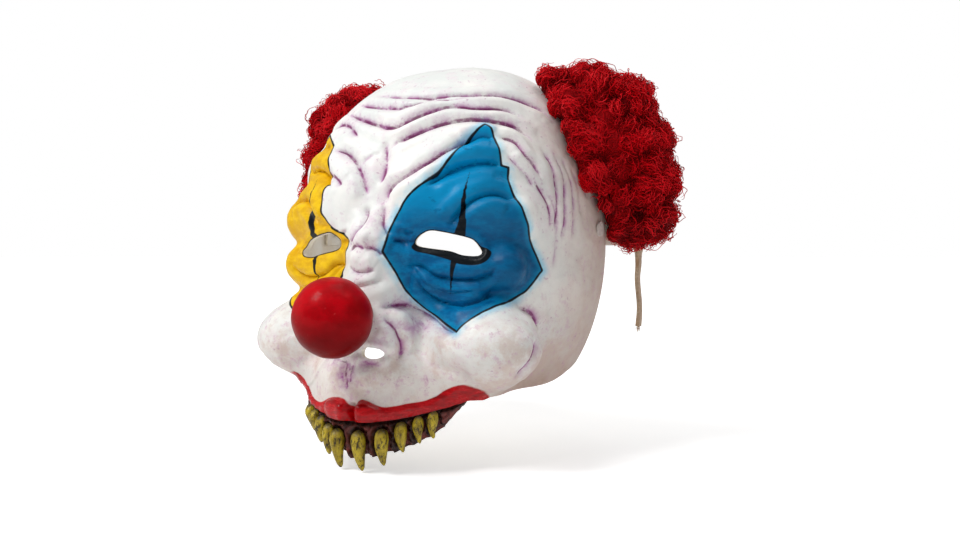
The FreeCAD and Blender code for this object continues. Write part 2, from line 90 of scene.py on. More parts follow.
def ellipsoid(p, centre, radii):
    """Distance to an ellipsoid, near its surface."""
    q = (p - centre) / radii
    near = np.linalg.norm(q, axis=1)
    slope = np.linalg.norm(q / radii, axis=1)
    return near * (near - 1.0) / np.maximum(slope, 1e-9)


def roll(p, start, end, start_radius, end_radius):
    """Distance to a roll of skin with round ends."""
    start, axis = np.array(start, float), np.subtract(end, start).astype(float)
    along = np.clip((p - start) @ axis / (axis @ axis), 0.0, 1.0)
    gap = np.linalg.norm(p - start - along[:, None] * axis, axis=1)
    return gap - start_radius - along * (end_radius - start_radius)


def muzzle(p):
    rounding = 14.0
    out = np.hypot(p[:, 0], p[:, 1] - MUZZLE_Y) - (MUZZLE_RADIUS - rounding)
    high = np.abs(p[:, 2] + 89.0) - 19.0
    outside = np.hypot(np.maximum(out, 0.0), np.maximum(high, 0.0))
    return outside + np.minimum(np.maximum(out, high), 0.0) - rounding


def face(p):
    """Distance to the plain outside of the mask, negative inside it."""
    p = np.column_stack([np.abs(p[:, 0]), p[:, 1], p[:, 2]])
    level = (p[:, 0] / HALF_WIDTH) ** 2.5 + (np.maximum(-p[:, 1], 0.0) / DEPTH) ** 2.2
    level += (np.abs(p[:, 2]) / CROWN) ** 2
    d = (level ** (1 / 2.2) - 1.0) * 90.0
    d = blend(d, muzzle(p), 22.0)
    d = blend(d, ellipsoid(p, (60, -80, -53), (25, 24, 20.5)), 20.0)
    d = blend(d, roll(p, (0, -95, 0), (0, -100, -36), 12.0, 14.0), 16.0)
    d = blend(d, ellipsoid(p, (11, -99, -48), (10, 12, 11)), 12.0)
    d = blend(d, ellipsoid(p, (19, -83, 23), (13, 14, 15)), 10.0)
    d = blend(d, roll(p, (28, -82, 24), (67, -67, 14), 9.5, 11.5), 9.0)
    d = blend(d, roll(p, (34, -74, 45), (60, -58, 42), 9.0, 7.0), 9.0)
    return blend(d, roll(p, (24, -86, -17), (65, -72, -12), 6.5, 10.5), 6.0)


def gradient(p):
    """Outward direction of the form at points, scaled by its slope."""
    h = 0.05
    slope = np.empty_like(p)
    for axis in range(3):
        step = np.zeros(3)
        step[axis] = h
        slope[:, axis] = (face(p + step) - face(p - step)) / (2 * h)
    return slope


def onto_face(p, rounds=4):
    """Move points along the form's slope until they lie on it."""
    p = np.array(p, float)
    for _ in range(rounds):
        slope = gradient(p)
        step = face(p)[:, None] * slope / np.maximum((slope ** 2).sum(1), 1e-6)[:, None]
        p -= np.clip(step, -3.0, 3.0)
    return p


def unit(v):
    return v / np.maximum(np.linalg.norm(v, axis=1), 1e-9)[:, None]


def front_points(outline, front=-150.0, rear=0.0):
    """Points of the face in front of places given as (x, z)."""
    outline = np.array(outline, float)
    depths = np.arange(front, rear, 1.5)
    grid = np.empty((len(outline), len(depths), 3))
    grid[:, :, 0], grid[:, :, 2] = outline[:, :1], outline[:, 1:]
    grid[:, :, 1] = depths
    inside = face(grid.reshape(-1, 3)).reshape(len(outline), -1) < 0.0
    first = np.where(inside.any(1), inside.argmax(1), len(depths) - 1)
    return onto_face(grid[np.arange(len(outline)), first])


def side_points(places, side):
    """Points of the face beside places given as (y, z), on the side of the given sign."""
    points = np.array([(side * 80.0, y, z) for y, z in places])
    for _ in range(30):
        points[:, 0] -= side * np.clip(face(points), -4.0, 4.0)
    return onto_face(points)


# ---- curves ----
def spline(points, step=0.6, closed=False):
    """Evenly dense Catmull-Rom curve through points."""
    p = np.array(points, float)
    count = len(p)
    if closed:
        p = np.vstack([p[-1], p, p[0], p[1]])
    else:
        p = np.vstack([2 * p[0] - p[1], p, 2 * p[-1] - p[-2]])
    spans = count if closed else count - 1
    curve = []
    for i in range(spans):
        a, b, c, d = p[i:i + 4]
        n = max(2, int(np.linalg.norm(c - b) / step))
        t = (np.arange(n) / n)[:, None]
        curve.append(0.5 * (2 * b + (c - a) * t + (2 * a - 5 * b + 4 * c - d) * t ** 2
                            + (3 * b - a - 3 * c + d) * t ** 3))
    if not closed:
        curve.append(p[-2:-1])
    return np.vstack(curve)


def near_curve(points, curve, reach):
    """Indices of the points near a curve, distances to it, places along it and heights over it."""
    box = (points > curve.min(0) - reach).all(1) & (points < curve.max(0) + reach).all(1)
    chosen = np.flatnonzero(box)
    best = np.full(len(chosen), 1e9)
    place, above = np.zeros(len(chosen)), np.zeros(len(chosen))
    for i in range(len(curve) - 1):
        a, ab = curve[i], curve[i + 1] - curve[i]
        t = np.clip((points[chosen] - a) @ ab / max(ab @ ab, 1e-9), 0.0, 1.0)
        apart = points[chosen] - a - t[:, None] * ab
        d = np.linalg.norm(apart, axis=1)
        closer = d < best
        above[closer] = apart[closer, 2]
        best[closer] = d[closer]
        place[closer] = ((i + t) / (len(curve) - 1))[closer]
    keep = best < reach
    return chosen[keep], best[keep], place[keep], above[keep]


def unrolled(points):
    """Places round the head's upright axis and their levels."""
    turn = np.arctan2(points[:, 0], -(points[:, 1] - AXIS_Y))
    return np.column_stack([turn, points[:, 2]])


def inside_outline(places, outline):
    """Whether places lie inside a closed outline in the same plane."""
    x, z = places[:, 0], places[:, 1]
    inside = np.zeros(len(places), bool)
    for a, b in zip(outline, np.roll(outline, -1, axis=0)):
        spans = (a[1] > z) != (b[1] > z)
        rise = b[1] - a[1] if b[1] != a[1] else 1e-9
        inside ^= spans & (x < a[0] + (z - a[1]) / rise * (b[0] - a[0]))
    return inside


def outline_distance(points, places, corners=(), reach=12.0):
    """Distance over the face to a closed outline, negative inside it.

    The outline is a smooth curve through the places, broken at those listed as corners.
    """
    if corners:
        ends = [*corners, corners[0] + len(places)]
        ring = [spline([places[k % len(places)] for k in range(a, b + 1)])[:-1]
                for a, b in zip(ends, ends[1:])]
        curve = onto_face(np.vstack(ring))
    else:
        curve = onto_face(spline(places, closed=True))
    chosen, gap, _, _ = near_curve(points, np.vstack([curve, curve[:1]]), reach)
    distance = np.full(len(points), reach)
    distance[chosen] = gap
    inside = inside_outline(unrolled(points), unrolled(curve)) & (points[:, 1] < -20.0)
    return np.where(inside, -distance, distance)


def smooth(low, high, value):
    t = np.clip((value - low) / (high - low), 0.0, 1.0)
    return t * t * (3 - 2 * t)


# ---- creases of the face: points, depth, width, overhang, strength of the purple wash ----
FOREHEAD = (
    (((-26, 85), (-2, 81), (14, 79), (32, 80), (50, 80), (64, 74), (72, 65)), 2.4, 1.8, 0.5, 0.8),
    (((-40, 81), (-17, 76), (0, 74), (18, 77), (38, 76)), 2.2, 1.7, 0.4, 0.9),
    (((-45, 75), (-21, 68), (-1, 63), (12, 68), (27, 73), (42, 71), (54, 71), (66, 64)),
     3.0, 1.8, 0.8, 1.0),
    (((-57, 62), (-47, 68), (-34, 66), (-21, 58)), 2.6, 1.8, 0.6, 1.0),
    (((1, 49), (6, 54), (14, 58), (30, 64), (46, 65), (60, 62), (70, 53)), 3.0, 1.8, 0.8, 1.0),
    (((-3, 55), (1, 44), (2, 30)), 2.2, 2.0, 0.0, 1.0),
    (((6, 17), (8, 28), (15, 34), (27, 42), (43, 53), (49, 58)), 3.6, 2.0, 1.0, 1.0),
    (((55, 56), (63, 53), (71, 43), (75, 33)), 2.0, 1.5, 0.6, 0.9),
    (((62, 46), (69, 37), (74, 28)), 1.4, 1.4, 0.4, 0.6),
    (((-38, 53), (-28, 50), (-19, 44), (-11, 36), (-5, 24)), 3.2, 1.8, -0.8, 1.0),
    (((-36, 38), (-27, 35), (-21, 31)), 2.2, 1.8, 0.6, 1.0),
    (((-5, 20), (-3, 11), (-9, 1), (-13, -2)), 2.8, 2.0, 0.0, 1.0),
    (((5, 20), (8, 11), (12, 3)), 2.4, 1.8, 0.0, 1.0),
    (((-10, -4), (-4, -1), (2, -3)), 2.2, 1.8, 0.8, 1.0),
    (((1, -3), (5, -2), (11, -6)), 2.0, 1.7, 0.8, 1.0),
    (((-9, -12), (0, -15), (8, -13)), 2.0, 1.7, 0.7, 0.7),
    (((-10, -20), (0, -22), (12, -18)), 1.4, 1.7, 0.6, 0.4),
    (((-14, 42), (-9, 47), (-3, 48)), 1.0, 1.6, 0.0, 0.5),
    (((-8, -59), (-6, -66), (-4.5, -76)), 2.0, 3.4, 0.0, 1.0),
    (((-2, -61), (-3, -72)), 1.2, 3.0, 0.0, 1.0),
    (((0, -80.5), (0.5, -85), (1, -90.5)), 4.0, 1.5, 0.0, 0.0),
)
# the same on both sides, in front of the mask
BOTH_SIDES = (
    (((29, 29), (36, 36), (46, 41), (56, 42), (62, 40)), 4.2, 2.0, 1.3, 0.5),
    (((42, 52), (48, 56), (55, 55)), 2.0, 1.7, 0.8, 0.7),
    (((40, 9), (45, 16), (52, 23), (61, 26), (72, 22)), 4.0, 2.0, 1.3, 0.5),
    (((14, 8), (22, 6), (31, 10), (40, 9)), 1.6, 2.0, 0.7, 0.5),
    (((13, 2), (20, 1), (25, 2)), 2.4, 1.8, 0.6, 1.0),
    (((16, -11), (26, -11), (34, -16), (46, -18), (57, -17), (66, -11)), 2.8, 1.8, 0.9, 0.5),
    (((19, -8), (24, -14), (32, -21), (44, -24), (56, -22)), 1.4, 1.8, 0.7, 0.3),
    (((23, -17), (30, -26), (38, -30), (47, -31), (56, -28), (62, -20)), 3.4, 2.0, 1.1, 0.6),
    (((10, -33), (17, -31), (28, -37), (40, -42), (53, -44)), 3.2, 2.4, 0.9, 1.0),
    (((13, -37), (19, -42), (22, -51), (21, -60)), 3.2, 2.0, 0.0, 1.0),
    (((12, -34), (19, -24), (22, -14)), 1.6, 2.4, 0.0, 0.5),
    (((24, -51), (34, -59), (46, -64), (60, -67)), 3.4, 6.0, 0.0, 0.25),
    (((4, -60), (9, -61), (14, -60)), 1.6, 2.0, 0.0, 0.7),
)
# the same on both sides, beside the mask, as (y, z)
TEMPLES = (
    (((-46, 52), (-43, 38), (-46, 20), (-50, 5)), 1.9, 1.5, 0.0, 0.8),
    (((-40, 50), (-37, 35), (-41, 19), (-45, 0)), 1.9, 1.5, 0.0, 0.8),
    (((-35, 48), (-32, 33), (-35, 14), (-38, 2)), 1.5, 1.4, 0.0, 0.6),
    (((-57, 34), (-52, 21), (-52, 7)), 1.7, 1.4, 0.0, 0.9),
    (((-29, 42), (-27, 28), (-29, 14)), 1.2, 1.4, 0.0, 0.5),
    (((-52, 30), (-48, 18), (-48, -2), (-50, -14)), 1.1, 1.4, 0.0, 0.5),
    (((-71, -31), (-60, -36), (-53, -45)), 2.4, 2.2, 0.7, 1.0),
    (((-78, -47), (-83, -57), (-88, -67)), 2.2, 2.6, 0.0, 0.9),
    (((-62, -48), (-70, -60), (-78, -68)), 1.2, 2.6, 0.0, 0.5),
    (((-22, 40), (-20, 24)), 0.9, 1.5, 0.0, 0.4),
)

# purple blotches in front: middle (x, z), half sizes, strength
BLOTCHES = (
    (-5.5, -66, 5.5, 8.0, 0.80), (-15, -62, 8.0, 4.5, 0.34), (9, -61.5, 8.0, 2.6, 0.55),
    (25, -43, 6.5, 6.0, 0.42), (17, -33, 5.0, 4.0, 0.36), (35, -40, 9.0, 3.5, 0.38),
    (14, -48, 4.0, 8.0, 0.26), (4, 14, 7.0, 16.0, 0.26), (-10, 30, 9.0, 10.0, 0.24),
)

# outlines on the face, as (x, y, z) near it
EYE_LEFT = ((24, -94, 1.2), (27.5, -94, 4.8), (34, -94, 6.6), (45.5, -90, 4.4), (53, -87, 2),
            (58, -86, -1.2), (56, -86, -5.2), (48, -87, -5.8), (41, -89, -3.8), (26.5, -94, -1.6))
EYE_RIGHT = ((-22.5, -94, 0.5), (-27, -94, 4), (-34, -94, 5.8), (-45.5, -90, 3.6), (-53, -87, 1.2),
             (-59, -84.5, -2), (-56, -85, -6.3), (-48, -87, -7.4), (-41, -89, -6), (-26, -94, -3.2))
DIAMOND = ((49, -65, 62), (53, -65, 58), (58, -68, 48), (61, -70, 40), (64, -68, 39),
           (67, -72, 30), (70.5, -72, 20), (74.5, -69, 8), (76, -62, -3), (78, -56, -14),
           (71, -65, -25), (62, -88, -35), (51, -100, -43.5), (40, -94, -39.5), (29, -88, -34.5),
           (18, -95, -23.5), (14, -100, -13), (10, -104, -4), (12, -100, 7), (19, -98, 21),
           (25, -95, 28), (34, -88, 36), (41, -81, 48), (46, -72, 57))
YELLOW = ((-50, -65, 62), (-54, -65, 57), (-59, -69, 46), (-64, -69, 38), (-70, -72, 28),
          (-75, -70, 14), (-77, -65, 4), (-78, -56, -14), (-71, -65, -25), (-60, -90, -35),
          (-47, -95, -42), (-36, -92, -33), (-24, -92, -21), (-17.5, -98, -9), (-12.5, -101, 1.5),
          (-20, -97, 5), (-29, -92, 9), (-34, -91, 15), (-35.5, -89, 22), (-33.5, -87, 36),
          (-38, -77, 52), (-44, -70, 57))
LIP = ((0.3, -116, -83), (4.5, -116, -79.2), (9, -115, -79.4), (17, -113, -82), (29, -110, -80),
       (40, -104, -78), (46, -100, -74.5), (51, -96, -71.8), (58, -95, -70.3), (64, -90, -74),
       (64, -80, -90), (0, -116, -104), (-64, -80, -90), (-64, -90, -74), (-57, -95, -72.5),
       (-51, -96, -75), (-45, -100, -78.5), (-36, -105, -81.5), (-25, -111, -83.3),
       (-15, -115, -79.6), (-6, -116, -79.2))
SPIKES = (
    (((45, 3), (47.5, 14), (48, 24), (47.5, 36)), 2.9),
    (((44, -6), (42.5, -15), (41, -26)), 2.0),
)


def mirrored(places):
    return [(-place[0], *place[1:]) for place in places]


def evened(curve, rounds=10):
    """Take the small steps out of a curve."""
    curve = curve.copy()
    for _ in range(rounds):
        curve[1:-1] = (curve[:-2] + 2 * curve[1:-1] + curve[2:]) / 4
    return curve


def crease_curves():
    """Every crease as (curve on the face, depth, width, overhang, wash)."""
    creases = []
    for places, *size in FOREHEAD:
        creases.append((evened(front_points(spline(places))), *size))
    for places, *size in BOTH_SIDES:
        creases.append((evened(front_points(spline(places))), *size))
        creases.append((evened(front_points(spline(mirrored(places)))), *size))
    for places, *size in TEMPLES:
        curve = spline(places)
        for side, _ in SIDES:
            creases.append((side_points(curve, side), *size))
    return creases


# ---- meshes ----
def sheet(rows, columns):
    """Point numbers of a grid, and the faces between them."""
    index = np.arange(rows * columns).reshape(rows, columns)
    quads = np.stack([index[:-1, :-1], index[1:, :-1], index[1:, 1:], index[:-1, 1:]], -1)
    return index, quads.reshape(-1, 4)


def barrel(rings, spokes):
    """Point numbers of a stack of closed rings, and the faces between them."""
    index = np.arange(rings * spokes).reshape(rings, spokes)
    after = np.roll(index, -1, axis=1)
    quads = np.stack([index[:-1], after[:-1], after[1:], index[1:]], -1)
    return index, quads.reshape(-1, 4)


def new_mesh(name, points, faces):
    mesh = bpy.data.meshes.new(name)
    mesh.from_pydata((np.asarray(points) * MM).tolist(), [], [list(map(int, f)) for f in faces])
    mesh.validate()
    return mesh


def new_object(name, points, faces, material=None, smooth_angle=50.0):
    mesh = new_mesh(name, points, faces)
    mesh.polygons.foreach_set("use_smooth", np.ones(len(mesh.polygons), bool))
    mesh.set_sharp_from_angle(angle=math.radians(smooth_angle))
    obj = bpy.data.objects.new(name, mesh)
    bpy.context.scene.collection.objects.link(obj)
    if material:
        mesh.materials.append(material)
    return obj


def carry(obj, name, values):
    """Keep a number at every point, for the material to read."""
    layer = obj.data.attributes.new(name, "FLOAT", "POINT")
    layer.data.foreach_set("value", values.astype(np.float32))


def on_side(side, points, faces):
    """Points and faces for the side of the given sign, mirrored for the right."""
    points[:, 0] *= side
    return points, [f[::-1] for f in faces] if side < 0 else faces


def read_mesh(mesh):
    points = np.empty(len(mesh.vertices) * 3)
    mesh.vertices.foreach_get("co", points)
    return points.reshape(-1, 3) / MM, [tuple(p.vertices) for p in mesh.polygons]


def modified(points, faces, kind, **settings):
    """Points and faces after one modifier."""
    obj = new_object("work", points, faces)
    modifier = obj.modifiers.new(kind, kind)
    for key, value in settings.items():
        setattr(modifier, key, value)
    graph = bpy.context.evaluated_depsgraph_get()
    made = read_mesh(obj.evaluated_get(graph).to_mesh())
    mesh = obj.data
    bpy.data.objects.remove(obj)
    bpy.data.meshes.remove(mesh)
    return made


# ---- latex skin ----
def coarse_head():
    """Closed mesh of the head, found along directions that fan out from inside it."""
    columns, rows = 150, 160
    across = np.radians(np.linspace(-65.5, 65.5, columns + 1))
    rise = np.radians(np.linspace(-65.0, 68.0, rows + 1))
    side, up = np.meshgrid(np.tan(across), np.tan(rise), indexing="ij")
    side, up = side.ravel(), up.ravel()
    slope = np.hypot(side, up)
    start_y = -40.0 + 90.0 * (np.degrees(np.arctan(slope)) / 65.5) ** 3
    low, high = np.full(len(side), 20.0), np.full(len(side), 280.0)
    for _ in range(26):
        reach = (low + high) / 2.0
        step = reach / np.hypot(1.0, slope)
        points = np.column_stack([side * step, start_y - step, up * step])
        inside = face(points) < 0.0
        low, high = np.where(inside, reach, low), np.where(inside, high, reach)
    index, quads = sheet(columns + 1, rows + 1)
    faces = quads.tolist()
    rim = np.concatenate([index[:, 0], index[-1, 1:], index[-2::-1, -1], index[0, -2:0:-1]])
    centre = len(points)
    points = np.vstack([points, [0.0, 60.0, 0.0]])
    faces += [(int(b), int(a), centre) for a, b in zip(rim, np.roll(rim, -1))]
    return points, faces


def even_head():
    """Evenly meshed points and faces of the head."""
    points, faces = modified(*coarse_head(), "REMESH", mode="VOXEL", voxel_size=PITCH * MM)
    front = points[:, 1] < 4.0
    faces = np.array([f for f in faces if front[list(f)].all()])
    used = np.unique(faces)
    points = points[used]
    faces = np.searchsorted(used, faces)
    return onto_face(points), faces


def clip(columns, faces, value):
    """Keep what has a positive value. Columns hold what every point carries, and follow the cut."""
    inside = value > 0.0
    kept, fresh, cuts = [], [], {}
    for ring in faces:
        held = [inside[i] for i in ring]
        if all(held):
            kept.append(ring)
            continue
        if not any(held):
            continue
        shape = []
        for a, b in zip(ring, [*ring[1:], ring[0]]):
            if inside[a]:
                shape.append(a)
            if inside[a] != inside[b]:
                key = (min(a, b), max(a, b))
                if key not in cuts:
                    t = value[a] / (value[a] - value[b])
                    cuts[key] = len(columns) + len(fresh)
                    fresh.append(columns[a] * (1 - t) + columns[b] * t)
                shape.append(cuts[key])
        if len(shape) > 2:
            kept.append(tuple(shape))
    columns = np.vstack([columns] + fresh) if fresh else columns
    used = np.unique(np.concatenate([np.array(f) for f in kept]))
    place = np.full(len(columns), -1)
    place[used] = np.arange(len(used))
    return columns[used], [tuple(place[list(f)]) for f in kept]


def rear_corner(y):
    """Level of the lower edge where it rounds up to the rear rim."""
    share = np.clip((y + CORNER_LENGTH) / (CORNER_LENGTH + 1.0), 0.0, 1.0)
    level = LOWER_EDGE_Z + CORNER_RISE * (1.0 - np.sqrt(1.0 - share ** 2))
    return np.where(share > 0.0, level, -200.0)


def lower_edge(x):
    """Level of the mask's cut lower edge under the lip and the cheeks."""
    radius = (LIP_HALF_SPAN ** 2 + LIP_DROP ** 2) / (2 * LIP_DROP)
    span = np.clip(np.abs(x), 0.0, LIP_HALF_SPAN)
    return LOWER_EDGE_Z - LIP_DROP + radius - np.sqrt(radius ** 2 - span ** 2)


def relief(points):
    """Height of the sculpted detail, strength of the wash and distance to the crease lines."""
    height, wash = np.zeros(len(points)), np.zeros(len(points))
    crease = np.full(len(points), 9.0)
    for curve, depth, width, overhang, strength in crease_curves():
        chosen, gap, along, above = near_curve(points, curve, 14.0)
        taper = smooth(0.0, 0.16, along) * smooth(1.0, 0.84, along)
        groove = 0.50 * np.exp(-(gap / (0.60 * width)) ** 2) + 0.42 * np.exp(-(gap / (2.0 * width)) ** 2)
        puff = 0.36 * depth * np.exp(-((gap - 3.2 * width) / (1.9 * width)) ** 2)
        upper = smooth(-0.6, 0.6, above / np.maximum(gap, 0.8) * np.sign(overhang))
        fold = abs(overhang) * 1.8 * upper * np.exp(-(gap / 5.5) ** 2)
        height[chosen] += taper * (puff + fold - depth * groove)
        soft = 0.42 * np.exp(-(gap / 0.9) ** 2) + 0.16 * np.exp(-(gap / (1.9 * width)) ** 2)
        soft += 0.10 * np.exp(-(gap / 7.0) ** 2)
        wash[chosen] = np.maximum(wash[chosen], strength * soft * (0.2 + 0.8 * taper))
        crease[chosen] = np.minimum(crease[chosen], gap + 1.1 * (1.0 - strength * taper))
    for x, z, half_x, half_z, strength in BLOTCHES:
        far = ((points[:, 0] - x) / half_x) ** 2 + ((points[:, 2] - z) / half_z) ** 2
        wash = np.maximum(wash, strength * np.exp(-far) * (points[:, 1] < -70.0))
    return height, wash, crease


def lip_end(points):
    """Distance behind the slanting line where the lip's paint ends at the mouth corners."""
    return (points[:, 1] + 75.7 + 2.5 * (points[:, 2] + 78.7)) / 2.7


def lobe(points, centre, half, height):
    """Rounded swelling at a place (x, z) in front of the mask."""
    q = ((points[:, 0] - centre[0]) / half[0]) ** 2 + ((points[:, 2] - centre[1]) / half[1]) ** 2
    return height * np.sqrt(np.maximum(1.0 - q, 0.0)) * (points[:, 1] < -60.0)


def lip_height(points, lip):
    """The lip stands proud of the muzzle, with two full lobes in the middle."""
    body = 1.5 * smooth(0.0, 2.2, -lip)
    folds = 0.22 * np.sin(points[:, 0] * 1.1 + 2.0 * np.sin(points[:, 2] * 0.4)) * smooth(1.0, 3.0, -lip)
    away = smooth(14.0, 22.0, np.abs(points[:, 0]))
    lobes = np.maximum(lobe(points, (-9.0, -85.5), (9.5, 7.0), 3.4),
                       lobe(points, (8.0, -85.5), (7.5, 6.5), 3.0))
    return body + folds * away + lobes * smooth(-0.5, 1.0, -lip)


def hand_wobble(points):
    """Slow unevenness of a hand-laid latex skin."""
    x, y, z = (points * 0.11).T
    wave = np.sin(x * 1.3 + 1.7 * np.sin(z)) + np.sin(z * 1.9 + 1.3 * np.sin(y + x))
    fine = np.sin(x * 4.1 + 2.0 * np.sin(z * 3.1)) * np.sin(z * 4.7 + 2.0 * np.sin(y * 3.3))
    return 0.22 * wave + 0.10 * fine


def spike_distance(points):
    """Distance to the painted spikes over and under the eyes, negative inside them."""
    distance = np.full(len(points), 9.0)
    for places, half_width in SPIKES:
        for ends in (places, mirrored(places)):
            chosen, gap, along, _ = near_curve(points, front_points(spline(ends)), 9.0)
            distance[chosen] = np.minimum(distance[chosen], gap - half_width * (1.0 - along) ** 1.5)
    return distance


def boundary_edges(faces):
    """Directed edges that only one face uses."""
    edges = {}
    for ring in faces:
        for a, b in zip(ring, [*ring[1:], ring[0]]):
            edges[(a, b)] = True
    return [(a, b) for a, b in edges if (b, a) not in edges]


# what the skin's points carry for its paint
PAINT = ("wash", "crease", "diamond", "yellow", "lip", "spike", "eye_gap", "eye_band")
FAR = 9.0                   # distance given to places that an opening cannot reach


def nostril_distance(points):
    """Distance to the nostrils, negative inside them."""
    across, level, half_width, half_height = NOSTRIL
    gaps = [np.hypot((points[:, 0] - side * across) / half_width, (points[:, 2] - level) / half_height)
            for side, _ in SIDES]
    return np.where(points[:, 1] < -70.0, (np.minimum(*gaps) - 1.0) * half_height, FAR)


def neck_distance(points):
    """Distance to the hole for the nose's neck, negative inside it."""
    gap = np.hypot(points[:, 0], points[:, 2] - NOSE[2]) - NECK_RADIUS - 0.2
    return np.where(points[:, 1] < -90.0, gap, FAR)


def sculpted(base):
    """Height of the skin over its plain form, its paint and the distances to its openings."""
    eye = np.minimum(outline_distance(base, EYE_LEFT), outline_distance(base, EYE_RIGHT))
    lip = np.maximum(outline_distance(base, LIP), lip_end(base))
    nostril = nostril_distance(base)
    height, wash, crease = relief(base)
    height *= smooth(1.0, 6.0, eye) * smooth(0.0, 4.0, -base[:, 1])
    height += lip_height(base, lip)
    height += 1.3 * np.exp(-((eye - 2.6) / 1.7) ** 2)
    height += hand_wobble(base) * smooth(0.0, 6.0, -base[:, 1])
    height += 0.9 * np.exp(-((nostril - 2.0) / 1.6) ** 2)
    return {
        "height": height,
        "wash": wash,
        "crease": crease,
        "diamond": outline_distance(base, DIAMOND, corners=(0, 3, 4, 9, 12, 17)),
        "yellow": outline_distance(base, YELLOW, corners=(0, 7, 10, 14)),
        "lip": lip,
        "spike": spike_distance(base),
        "eye_gap": eye,
        "eye_band": eye_band(base),
        "nostril": nostril,
        "neck": neck_distance(base),
    }


def latex_skin(materials):
    """Outside, inside and cut edges of the mask in one closed mesh."""
    base, faces = even_head()
    carried = sculpted(base)
    columns = np.column_stack([base, unit(gradient(base)), *carried.values()])
    column = {name: 6 + k for k, name in enumerate(carried)}
    rings = [tuple(f) for f in faces]
    columns, rings = clip(columns, rings, -columns[:, 1])
    columns, rings = clip(columns, rings, columns[:, 2] - lower_edge(columns[:, 0]))
    columns, rings = clip(columns, rings, columns[:, 2] - rear_corner(columns[:, 1]))
    for opening in ("eye_gap", "nostril", "neck"):
        columns, rings = clip(columns, rings, columns[:, column[opening]])
    base, normals = columns[:, :3], unit(columns[:, 3:6])
    height = columns[:, column["height"], None]
    outside = base + normals * height
    inside = base + normals * (height - WALL)
    rim = base[:, 1] > -1e-6
    outside[rim, 1] = 0.0
    inside[rim, 1] = 0.0
    paint = columns[:, [column[name] for name in PAINT]]
    return stitched_skin(outside, inside, rings, paint, materials)


def eye_band(points):
    """Width of the black paint round the eye holes: broad under the left one only."""
    x, level = points[:, 0], points[:, 2] + 0.8 + 0.06 * (points[:, 0] - 40.0)
    return 4.3 * smooth(0.6, -2.6, level) * (0.5 + 0.5 * smooth(28.0, 46.0, x)) * (x > 0.0)


def stitched_skin(outside, inside, rings, paint, materials):
    """Join the two sides of the skin along their edges, with a lighter mesh inside."""
    edges = boundary_edges(rings)
    on_edge = np.zeros(len(inside), bool)
    on_edge[[i for edge in edges for i in edge]] = True
    count = len(outside)
    points = np.vstack([outside, inside])
    faces = list(rings)
    inner = [tuple(count + i for i in reversed(f)) for f in rings]
    walls = [(b, a, a + count, b + count) for a, b in edges]
    obj = new_object("latex_skin", points, faces + inner + walls)
    mesh = obj.data
    for name, values in zip(PAINT, paint.T):
        carry(obj, name, np.concatenate([values, values]))
    for material in materials:
        mesh.materials.append(material)
    kind = np.zeros(len(mesh.polygons), np.int32)
    kind[len(faces):] = 1
    mesh.polygons.foreach_set("material_index", kind)
    lighten_inside(obj, count, on_edge)
    return obj


def lighten_inside(obj, count, on_edge):
    """Thin out the mesh of the hidden side, away from its edges."""
    group = obj.vertex_groups.new(name="inside")
    group.add([count + int(i) for i in np.flatnonzero(~on_edge)], 1.0, "REPLACE")
    thin = obj.modifiers.new("thin", "DECIMATE")
    thin.ratio = 0.62
    thin.vertex_group = "inside"
    graph = bpy.context.evaluated_depsgraph_get()
    mesh = bpy.data.meshes.new_from_object(obj.evaluated_get(graph))
    obj.modifiers.clear()
    obj.vertex_groups.clear()
    obj.data = mesh


# ---- materials ----
def srgb(*channels):
    """Linear colour of an sRGB colour given in bytes."""
    value = np.array(channels) / 255.0
    linear = np.where(value <= 0.04045, value / 12.92, ((value + 0.055) / 1.055) ** 2.4)
    return (*[float(v) for v in linear], 1.0)


